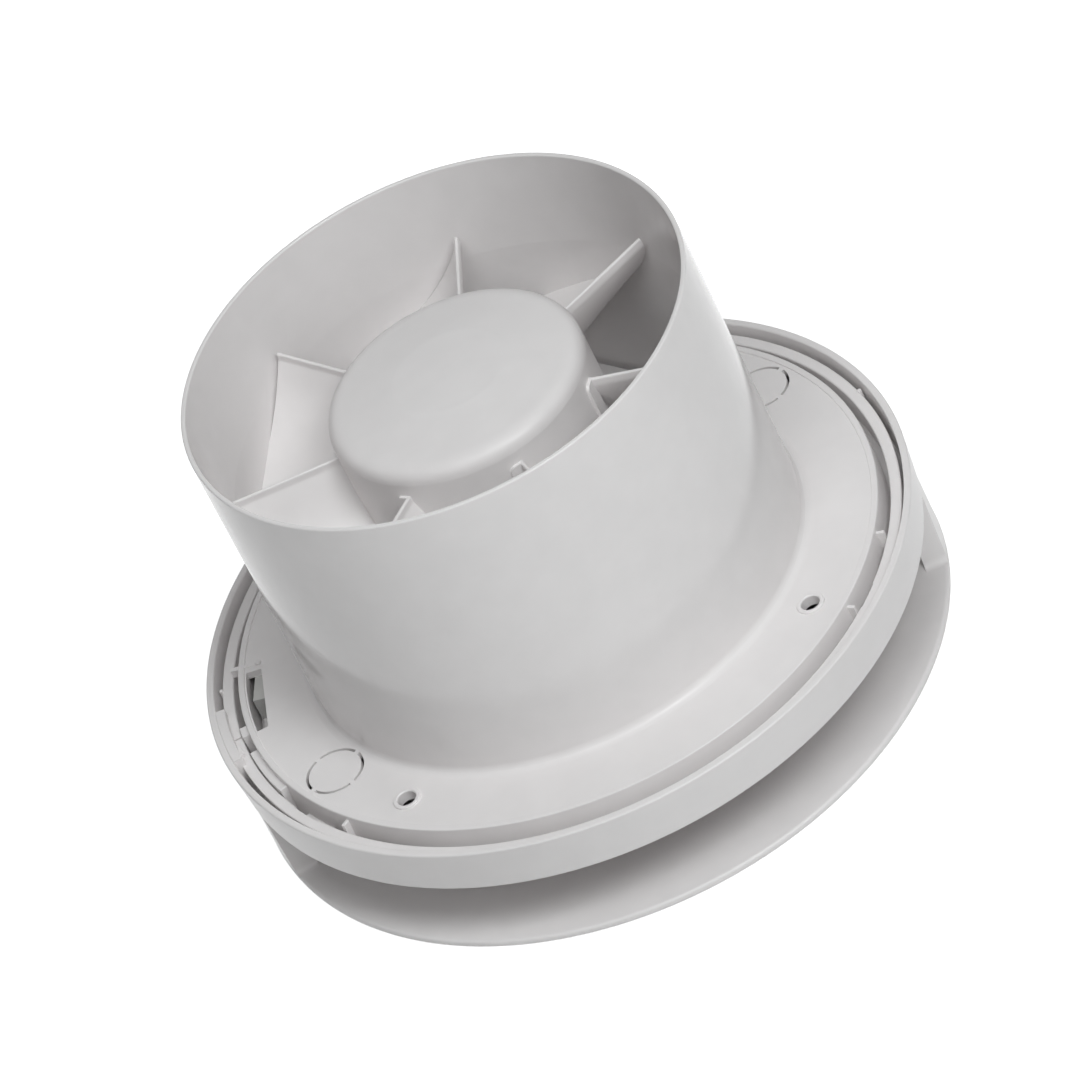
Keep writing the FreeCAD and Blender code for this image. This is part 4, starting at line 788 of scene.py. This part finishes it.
    def cuts(self) -> list[list[Form]]:
        """Return the tools of the screw holes, knockout slots and window, then the leads' groove and notch.

        A knockout's slot is a ring that bridges cut in four. The window's outer side is round and its inner
        side straight.
        """
        top = self.plate_back + self.collar_rise
        above = top + self.spare
        low = self.collar_foot - self.hole_spare
        wide = self.hole + self.hole_chamfer
        chamfer_top = top + SINK / 2
        outline = np.array([(0, low), (self.hole, low), (self.hole, chamfer_top - self.hole_chamfer),
                            (wide, chamfer_top), (wide, above), (0, above)])
        forms = [Form.lathe(outline, steps=ROUND_STEPS).moved(*place) for place in self.hole_places()]
        low = self.plate_front - self.slot_spare
        inner, outer = self.knockout - self.knockout_slot, self.knockout + self.knockout_slot
        for angle in self.knockout_angles:
            for start in (0, 90, 180, 270):
                ends = (start + self.bridge, start + 90 - self.bridge)
                slot = Form.sector(inner, outer, low, above, ends, steps=self.slot_steps)
                forms.append(slot.moved(self.knockout_circle, 0).turned(angle))
        first, last = self.window_ends
        turn = np.radians(np.linspace(first, last, self.window_steps))
        window = np.vstack([polar(self.window_inner[0], first),
                            self.window_outer * np.column_stack([np.cos(turn), np.sin(turn)]),
                            polar(self.window_inner[1], last)])
        ends = [np.column_stack([window, np.full(len(window), height)]) for height in (low, above)]
        forms.append(Form.loft(np.stack(ends)))
        below = self.foot - self.spare
        groove = Form.beam(THROAT - self.spare, THROAT + self.lead_depth, below, self.lead_top,
                           LEAD_WIDTH, LEAD_ANGLE)
        notch = Form.beam(THROAT - self.spare, self.spigot + self.spare, below, self.notch_top,
                          LEAD_WIDTH - self.notch_slack, LEAD_ANGLE)
        return [forms, [groove], [notch]]


@dataclass
class VaneCarrier(Part):
    """Motor cup with its seven guide vanes."""

    cup: float = 31.8
    wall: float = 1.7
    foot: float = 66.0
    top: float = 102.0
    crown: float = 3.5
    cup_round: float = 3.8
    cup_steps: int = 224
    dome_share: float = 0.999
    edge: float = 0.3
    count: int = 7
    first_angle: float = -26.7
    lip_top: float = 92.2
    lip_rise: float = 1.3
    lip_depth: float = 0.9
    lip_thickness: float = 0.95
    thickness: float = 1.5
    thickening: float = 4.5
    camber: float = 38.5
    bend: float = 2.2
    tail: float = 17.0
    top_lean: float = 30.0
    foot_lean: float = 74.5
    tip_gap: float = 1.3
    taper_foot: float = 73.0
    sink: float = 0.6
    reach: float = 0.25
    stations: int = 15
    pilaster_width: float = 2.5
    pilaster_rise: float = 0.8
    pilaster_round: float = 1.5
    boss: float = 3.6
    boss_foot: float = 95.0
    boss_circle: float = 24.4
    lead_notch: float = 71.5
    lead_way: float = 68.95
    lead_slack: float = 0.1
    spare: float = 2.0

    def shell(self) -> Form:
        """Return the cup: a domed lid with a round edge, and a straight wall, turned once round.

        The dome is one large arc, rounded into a corner halfway along the lid.
        """
        inner = self.cup - self.wall
        knee = (self.cup - self.cup_round) / 2
        fall = math.atan(self.crown / (self.cup - knee))
        dome = self.dome_share * knee / math.tan(fall / 2)
        inner_round = self.cup_round - self.wall
        edge = self.top - self.crown
        outside = [(0, self.top, 0), (knee, self.top, dome), (self.cup, edge, self.cup_round),
                   (self.cup, self.foot, self.edge)]
        inside = [(inner, self.foot, self.edge), (inner, edge - self.wall, inner_round),
                  (0, self.top - self.wall, 0)]
        return Form.lathe(rounded(outside + inside), steps=self.cup_steps)

    def middle_line(self) -> np.ndarray:
        """Return sideways way and height along a vane: upright lip, bend, hollow curve and straight tail.

        The lean is measured from the axis. On an arc of radius C, from lean a to lean s, the line goes
        C (cos a - cos s) sideways and C (sin s - sin a) down. Sideways way is measured at the throat.
        """
        start, last = math.radians(self.top_lean), math.radians(self.foot_lean)
        arcs = ((self.bend, np.linspace(0, start, 6)), (self.camber, np.linspace(start, last, 26)))
        line = [np.array([[0.0, 0.0], [0.0, self.lip_depth]])]
        for radius, leans in arcs:
            begin = leans[0]
            arc = radius * np.column_stack([np.cos(begin) - np.cos(leans), np.sin(leans) - np.sin(begin)])
            line.append(line[-1][-1] + arc[1:])
        way = np.linspace(0, self.tail, 9)[1:]
        line.append(line[-1][-1] + np.outer(way, [math.sin(last), math.cos(last)]))
        line = np.concatenate(line)
        line[:, 1] = self.lip_top - line[:, 1]
        return line

    def vane(self) -> Form:
        """Return one vane whose lip stands on the X axis.

        Each station is the middle line scaled sideways by its radius over the throat's, offset to both sides
        by half the thickness along its normal, capped with a half circle at its top, and laid round the axis.
        The thickness grows from the lip's t1 to the vane's t2 as t1 + (t2 - t1) (3 s^2 - 2 s^3), s being the
        way down over the thickening. The top rises towards the wall, and the last station leaves the wall in
        a straight taper.
        """
        line = self.middle_line()
        height = line[:, 1]
        run = np.clip((self.lip_top - height) / self.thickening, 0, 1)
        half = (self.lip_thickness + (self.thickness - self.lip_thickness) * run ** 2 * (3 - 2 * run)) / 2
        taper = np.clip((height - self.taper_foot) / (self.lip_top + self.lip_rise - self.taper_foot), 0, 1)
        wall = THROAT + self.reach - (self.tip_gap + self.reach) * taper
        inner = self.cup - self.sink
        turn = np.linspace(np.pi, 0, 8)[1:-1]
        cap = half[0] * np.column_stack([np.cos(turn), np.sin(turn)])
        rings = []
        for share in np.linspace(0, 1, self.stations):
            radius = inner + (wall - inner) * share
            raised = height - half[0] + self.lip_rise * share
            middle = np.column_stack([line[:, 0] * radius / THROAT, raised])
            tangent = np.gradient(middle, axis=0)
            tangent /= np.linalg.norm(tangent, axis=1, keepdims=True)
            normal = np.column_stack([-tangent[:, 1], tangent[:, 0]]) * half[:, None]
            section = np.concatenate([middle[0] + cap[3:], middle + normal, (middle - normal)[::-1],
                                      middle[0] + cap[:3]])
            ends = np.full(3, radius[0])
            radii = np.concatenate([ends, radius, radius[::-1], ends])
            rings.append(wrapped(section[:, 0], section[:, 1], radii, radii))
        return Form.loft(np.stack(rings), laddered=True)

    def pilaster(self) -> Form:
        """Return the flat upright beside a vane's root, with one top corner rounded, on the X axis."""
        right = self.lip_thickness / 2 - SINK
        left = -self.thickness / 2 - self.pilaster_width
        low = self.foot + SINK
        outline = rounded([(left, low, 0), (right, low, 0), (right, self.lip_top, 0),
                           (left, self.lip_top, self.pilaster_round)], False)
        rings = [wrapped(outline[:, 0], outline[:, 1], radius, self.cup)
                 for radius in (self.cup - self.sink, self.cup + self.pilaster_rise)]
        return Form.loft(np.stack(rings))

    def additions(self) -> list[list[Form]]:
        """Return the vanes, and then the pilasters and the bosses."""
        angles = [self.first_angle + FULL_TURN * index / self.count for index in range(self.count)]
        vanes, pilasters = ([form.turned(angle) for angle in angles]
                            for form in (self.vane(), self.pilaster()))
        bosses = [Form.disc(self.boss, self.boss_foot, self.top - self.crown - self.wall / 2,
                            polar(self.boss_circle, 45 + 90 * index)) for index in range(4)]
        return [vanes, pilasters + bosses]

    def cuts(self) -> list[list[Form]]:
        """Return the tools of the leads' notch in the cup and of their way under one vane."""
        below = self.foot - self.spare
        notch = Form.beam(self.cup - 3 * self.wall, self.cup + self.pilaster_rise, below, self.lead_notch,
                          LEAD_WIDTH, LEAD_ANGLE)
        way = Form.beam(self.cup, THROAT + self.spare / 2, below, self.lead_way,
                        LEAD_WIDTH - self.lead_slack, LEAD_ANGLE)
        return [[notch], [way]]


@dataclass
class CoverRing(Part):
    """Cover that clips over the mounting plate."""

    front: float = 20.3
    floor: float = 22.1
    back: float = 32.6
    back_radius: float = 89.05
    front_radius: float = 88.05
    wall: float = 1.9
    edge: float = 0.45
    face_round: float = 0.7
    groove_round: float = 0.3
    rim_round: float = 0.35
    floor_round: float = 0.15
    rim: float = 82.9
    rim_top: float = 30.05
    rim_top_width: float = 2.9
    rim_foot_width: float = 1.7
    rim_sway: float = 0.75
    lip: float = 58.9
    lip_round: float = 1.6
    pocket_depth: float = 6.0
    pocket_cut: float = 0.45
    pocket_ends: tuple[tuple[float, float], ...] = ((82.0, 88.2), (202.0, 208.3), (318.2, 323.4))
    block_middle: float = 179.65
    block_half: float = 6.65
    block_drop: float = 0.1
    pad_ends: tuple[float, float] = (182.4, 184.5)
    pad_width: float = 2.6
    pad_rise: float = 1.1
    notch_angle: float = 179.5
    notch_length: float = 1.9
    notch_width: float = 0.5
    nub_angles: tuple[float, ...] = (11.0, 167.0)
    nub: float = 0.55
    nub_rise: float = 0.9
    nub_round: float = 0.3
    nub_steps: int = 20
    root: float = 2.0

    def shell(self) -> Form:
        """Return the turned shell: inlet lip, face, outer wall, groove, flat inner rim and floor.

        Its inner rim sways: it stands higher by S sin a at angle a.
        """
        shell = Form.lathe(rounded([
            (self.lip, self.front, self.lip_round),
            (self.front_radius, self.front, self.face_round),
            (self.back_radius, self.back, self.edge),
            (self.back_radius - self.wall, self.back, self.edge),
            (self.front_radius - self.wall, self.floor, self.groove_round),
            (self.rim + self.rim_foot_width, self.floor, self.groove_round),
            (self.rim + self.rim_top_width, self.rim_top, self.rim_round),
            (self.rim, self.rim_top, self.edge),
            (self.rim, self.floor, self.groove_round),
            (self.lip, self.floor, self.floor_round),
        ]))
        x, y, z = shell.points.T
        radius = np.hypot(x, y)
        share = np.clip((z - self.floor) / (self.rim_top - self.floor), 0, 1)
        on_rim = (radius > self.rim - SINK) & (radius < self.rim + self.rim_top_width + SINK)
        shell.points[:, 2] += self.rim_sway * y / radius * share * on_rim
        return shell

    def additions(self) -> list[list[Form]]:
        """Return what stands in the groove and on the rim: the block, then the pad and the nubs."""
        ends = (self.block_middle - self.block_half, self.block_middle + self.block_half)
        block = Form.sector(self.rim + self.rim_foot_width + 3 * SINK, self.front_radius - self.wall / 2,
                            self.floor - 3 * SINK, self.back - self.block_drop, ends)
        rim_edge = self.rim + self.rim_top_width
        pad_outer = rim_edge + 8 * SINK
        pad = Form.sector(pad_outer - self.pad_width, pad_outer, self.rim_top - self.root / 2,
                          self.rim_top + self.pad_rise, self.pad_ends)
        low, high = self.rim_top - self.root, self.rim_top + self.nub_rise
        nubs = [Form.disc(self.nub, low, high, polar(rim_edge, angle), self.nub_round, self.nub_steps)
                for angle in self.nub_angles]
        return [[block], [pad, *nubs]]

    def cuts(self) -> list[list[Form]]:
        """Return the tools of the clip pockets and of the rim's notch."""
        inner = self.rim - 4 * SINK
        low, high = self.rim_top - self.pocket_depth, self.back + self.root / 2
        pockets = [Form.sector(inner, self.rim + self.pocket_cut, low, high, ends)
                   for ends in self.pocket_ends]
        notch = Form.beam(inner, self.rim + self.notch_length, self.rim_top - self.root, high,
                          self.notch_width, self.notch_angle)
        return [[*pockets, notch]]


@dataclass
class PanelSupport(Part):
    """One of the two supports that hold the front panel off the cover ring."""

    angle: float = 0.0
    low: float = 2.0
    high: float = 20.3
    outer: float = 87.7
    depth: float = 5.6
    foot_half: float = 13.0
    top_half: float = 9.6
    flare: float = 1.6
    points: int = 33

    def shell(self) -> Form:
        """Return the support: a piece of a ring whose ends lean together, with a flared foot.

        At height z its half width runs straight from foot to top, and within the flare R of the foot it grows
        by R - sqrt(R^2 - (R - h)^2), where h is the height above the foot.
        """
        heights = np.concatenate([self.low + self.flare * (1 - np.cos(np.linspace(0, np.pi / 2, 7))),
                                  np.linspace(self.low + self.flare, self.high, 7)[1:]])
        foot = self.outer * math.sin(math.radians(self.foot_half))
        top = self.outer * math.sin(math.radians(self.top_half))
        share = (heights - self.low) / (self.high - self.low)
        rise = np.clip(self.flare - (heights - self.low), 0, self.flare)
        grow = self.flare - np.sqrt(self.flare ** 2 - rise ** 2)
        half = foot + (top - foot) * share + grow
        side = np.outer(half, np.linspace(-1, 1, self.points))
        outer = np.sqrt(self.outer ** 2 - side ** 2)
        inner = np.sqrt((self.outer - self.depth) ** 2 - side ** 2)
        x = np.hstack([outer, inner[:, ::-1]])
        y = np.hstack([side, side[:, ::-1]])
        rings = np.stack([x, y, np.broadcast_to(heights[:, None], x.shape)], axis=-1)
        return Form.loft(rings).turned(self.angle)


@dataclass
class FrontPanel(Part):
    """Flat round panel that the room sees."""

    radius: float = 87.78
    thickness: float = 2.0
    edge: float = 0.8

    def shell(self) -> Form:
        """Return the panel: a flat disc with a full round edge, turned once round."""
        return Form.lathe(rounded([(0, 0, 0), (self.radius, 0, self.edge),
                                   (self.radius, self.thickness, self.edge), (0, self.thickness, 0)]))


def dress_cad_nodes(wardrobe: Wardrobe) -> None:
    """Give each CAD node that no new piece stands for the finish of its slot in the record."""
    for part in frame["record"]["subparts"]:
        node, slot = part["node"], part["material_slot"]
        if node not in wardrobe.stood_for:
            wardrobe.dress(frame["nodes"][node], slot)
            log.info("%s: CAD shape, finish %s", node, slot)


@dataclass
class Softbox:
    """One lamp of the studio."""

    name: str
    place: tuple[float, float, float]
    width: float
    power: float
    colour: Colour = (0.965, 0.995, 1.0)
    target: tuple[float, float, float] = (0.0, 0.0, 0.06)

    def build(self) -> None:
        """Add the lamp, turned to its target."""
        lamp = bpy.data.lights.new(self.name, "AREA")
        lamp.shape = "DISK"
        lamp.size = self.width
        lamp.energy = self.power
        lamp.color = self.colour
        holder = show(self.name, lamp)
        holder.location = self.place
        aim = Vector(self.target) - Vector(self.place)
        holder.rotation_euler = aim.to_track_quat("-Z", "Y").to_euler()


@dataclass
class Studio:
    """Camera at the photograph's angle, soft lamps, white surroundings and a pale floor."""

    image_pixels: float = 1080.0
    focal_pixels: float = 8000.0
    sensor: float = 36.0
    camera_place: tuple[float, float, float] = (0.05285, -1.48075, 1.20169)
    camera_right: tuple[float, float, float] = (0.89945, -0.24910, -0.35907)
    camera_up: tuple[float, float, float] = (0.43614, 0.56341, 0.70168)
    camera_back: tuple[float, float, float] = (0.02751, -0.78773, 0.61541)
    sky: float = 0.12
    far: float = 100.0
    floor_width: float = 12.0
    floor_drop: float = 0.0002
    floor_colour: float = 0.75
    floor_glow: float = 0.8
    lamps: list[Softbox] = field(default_factory=lambda: [
        Softbox("key_lamp", (0.436, -0.773, 1.01), 0.5, 6.1),
        Softbox("upper_lamp", (-0.002, -0.55, 1.23), 0.6, 3.9),
        Softbox("left_lamp", (-0.405, -0.828, 0.976), 0.4, 1.2),
        Softbox("low_right_lamp", (0.809, -0.978, 0.342), 0.4, 1.0),
        Softbox("top_lamp", (0.174, 0.222, 1.329), 0.4, 0.8),
        Softbox("back_lamp", (-0.05, 1.35, 0.2), 0.5, 2.6),
    ])

    def camera(self) -> None:
        """Add the camera."""
        lens = bpy.data.cameras.new("photo_camera")
        lens.sensor_width = self.sensor
        lens.lens = self.focal_pixels / self.image_pixels * self.sensor
        lens.clip_end = self.far
        holder = show("photo_camera", lens)
        turn = Matrix((self.camera_right, self.camera_up, self.camera_back)).transposed().to_4x4()
        turn.translation = Vector(self.camera_place)
        holder.matrix_world = turn
        bpy.context.scene.camera = holder

    def world(self) -> None:
        """Add the surroundings: white to the eye and in reflections, softer as light."""
        bpy.context.scene.world = bpy.data.worlds.new("studio")
        graph = Graph(bpy.context.scene.world, "ShaderNodeOutputWorld")
        light, white = (graph.node("ShaderNodeBackground", {}, {"Color": (1, 1, 1, 1), "Strength": strength})
                        for strength in (self.sky, 1.0))
        graph.close(graph.node("ShaderNodeMixShader", {},
                               {0: graph.seen(), 1: light.outputs[0], 2: white.outputs[0]}))

    def floor(self) -> None:
        """Add the floor: a pale sheet that looks white and still shows the shadow."""
        half = self.floor_width / 2
        mesh = bpy.data.meshes.new("floor")
        corners = [(-half, -half, 0), (half, -half, 0), (half, half, 0), (-half, half, 0)]
        mesh.from_pydata(corners, [], [(0, 1, 2, 3)])
        floor = show("floor", mesh)
        floor.location.z = -self.floor_drop
        graph = Graph(bpy.data.materials.new("floor"))
        paint = graph.node("ShaderNodeBsdfDiffuse", {}, {"Color": (*[self.floor_colour] * 3, 1.0)})
        glow = graph.node("ShaderNodeEmission", {}, {"Color": (1, 1, 1, 1),
                                                     "Strength": graph.seen() * self.floor_glow})
        mesh.materials.append(graph.close(graph.node("ShaderNodeAddShader", {},
                                                     {0: paint.outputs[0], 1: glow.outputs[0]})))

    def build(self) -> None:
        """Set up the studio."""
        self.camera()
        self.world()
        self.floor()
        for lamp in self.lamps:
            lamp.build()
        bpy.context.scene.view_settings.view_transform = "Standard"


def main() -> None:
    """Build the fan's pieces in order, dress them and set up the studio."""
    logging.basicConfig(level=logging.INFO, format="%(message)s")
    wardrobe = Wardrobe()
    support = PanelSupport("right_support", "right_panel_support", Body.COVER, "cover_plastic", 0.25)
    parts = [
        DuctHousing("housing_shell", "duct_housing", Body.HOUSING, "housing_plastic"),
        VaneCarrier("motor_cup_and_vanes", "vane_carrier", Body.HOUSING, "carrier_plastic"),
        CoverRing("cover_shell", "cover_ring", Body.COVER, "cover_plastic"),
        support,
        replace(support, name="left_support", node="left_panel_support", angle=180.0),
        FrontPanel("room_panel", "front_panel", Body.COVER, "cover_plastic"),
    ]
    for part in parts:
        part.build(wardrobe)
    dress_cad_nodes(wardrobe)
    Studio().build()


if __name__ == "__main__":
    main()
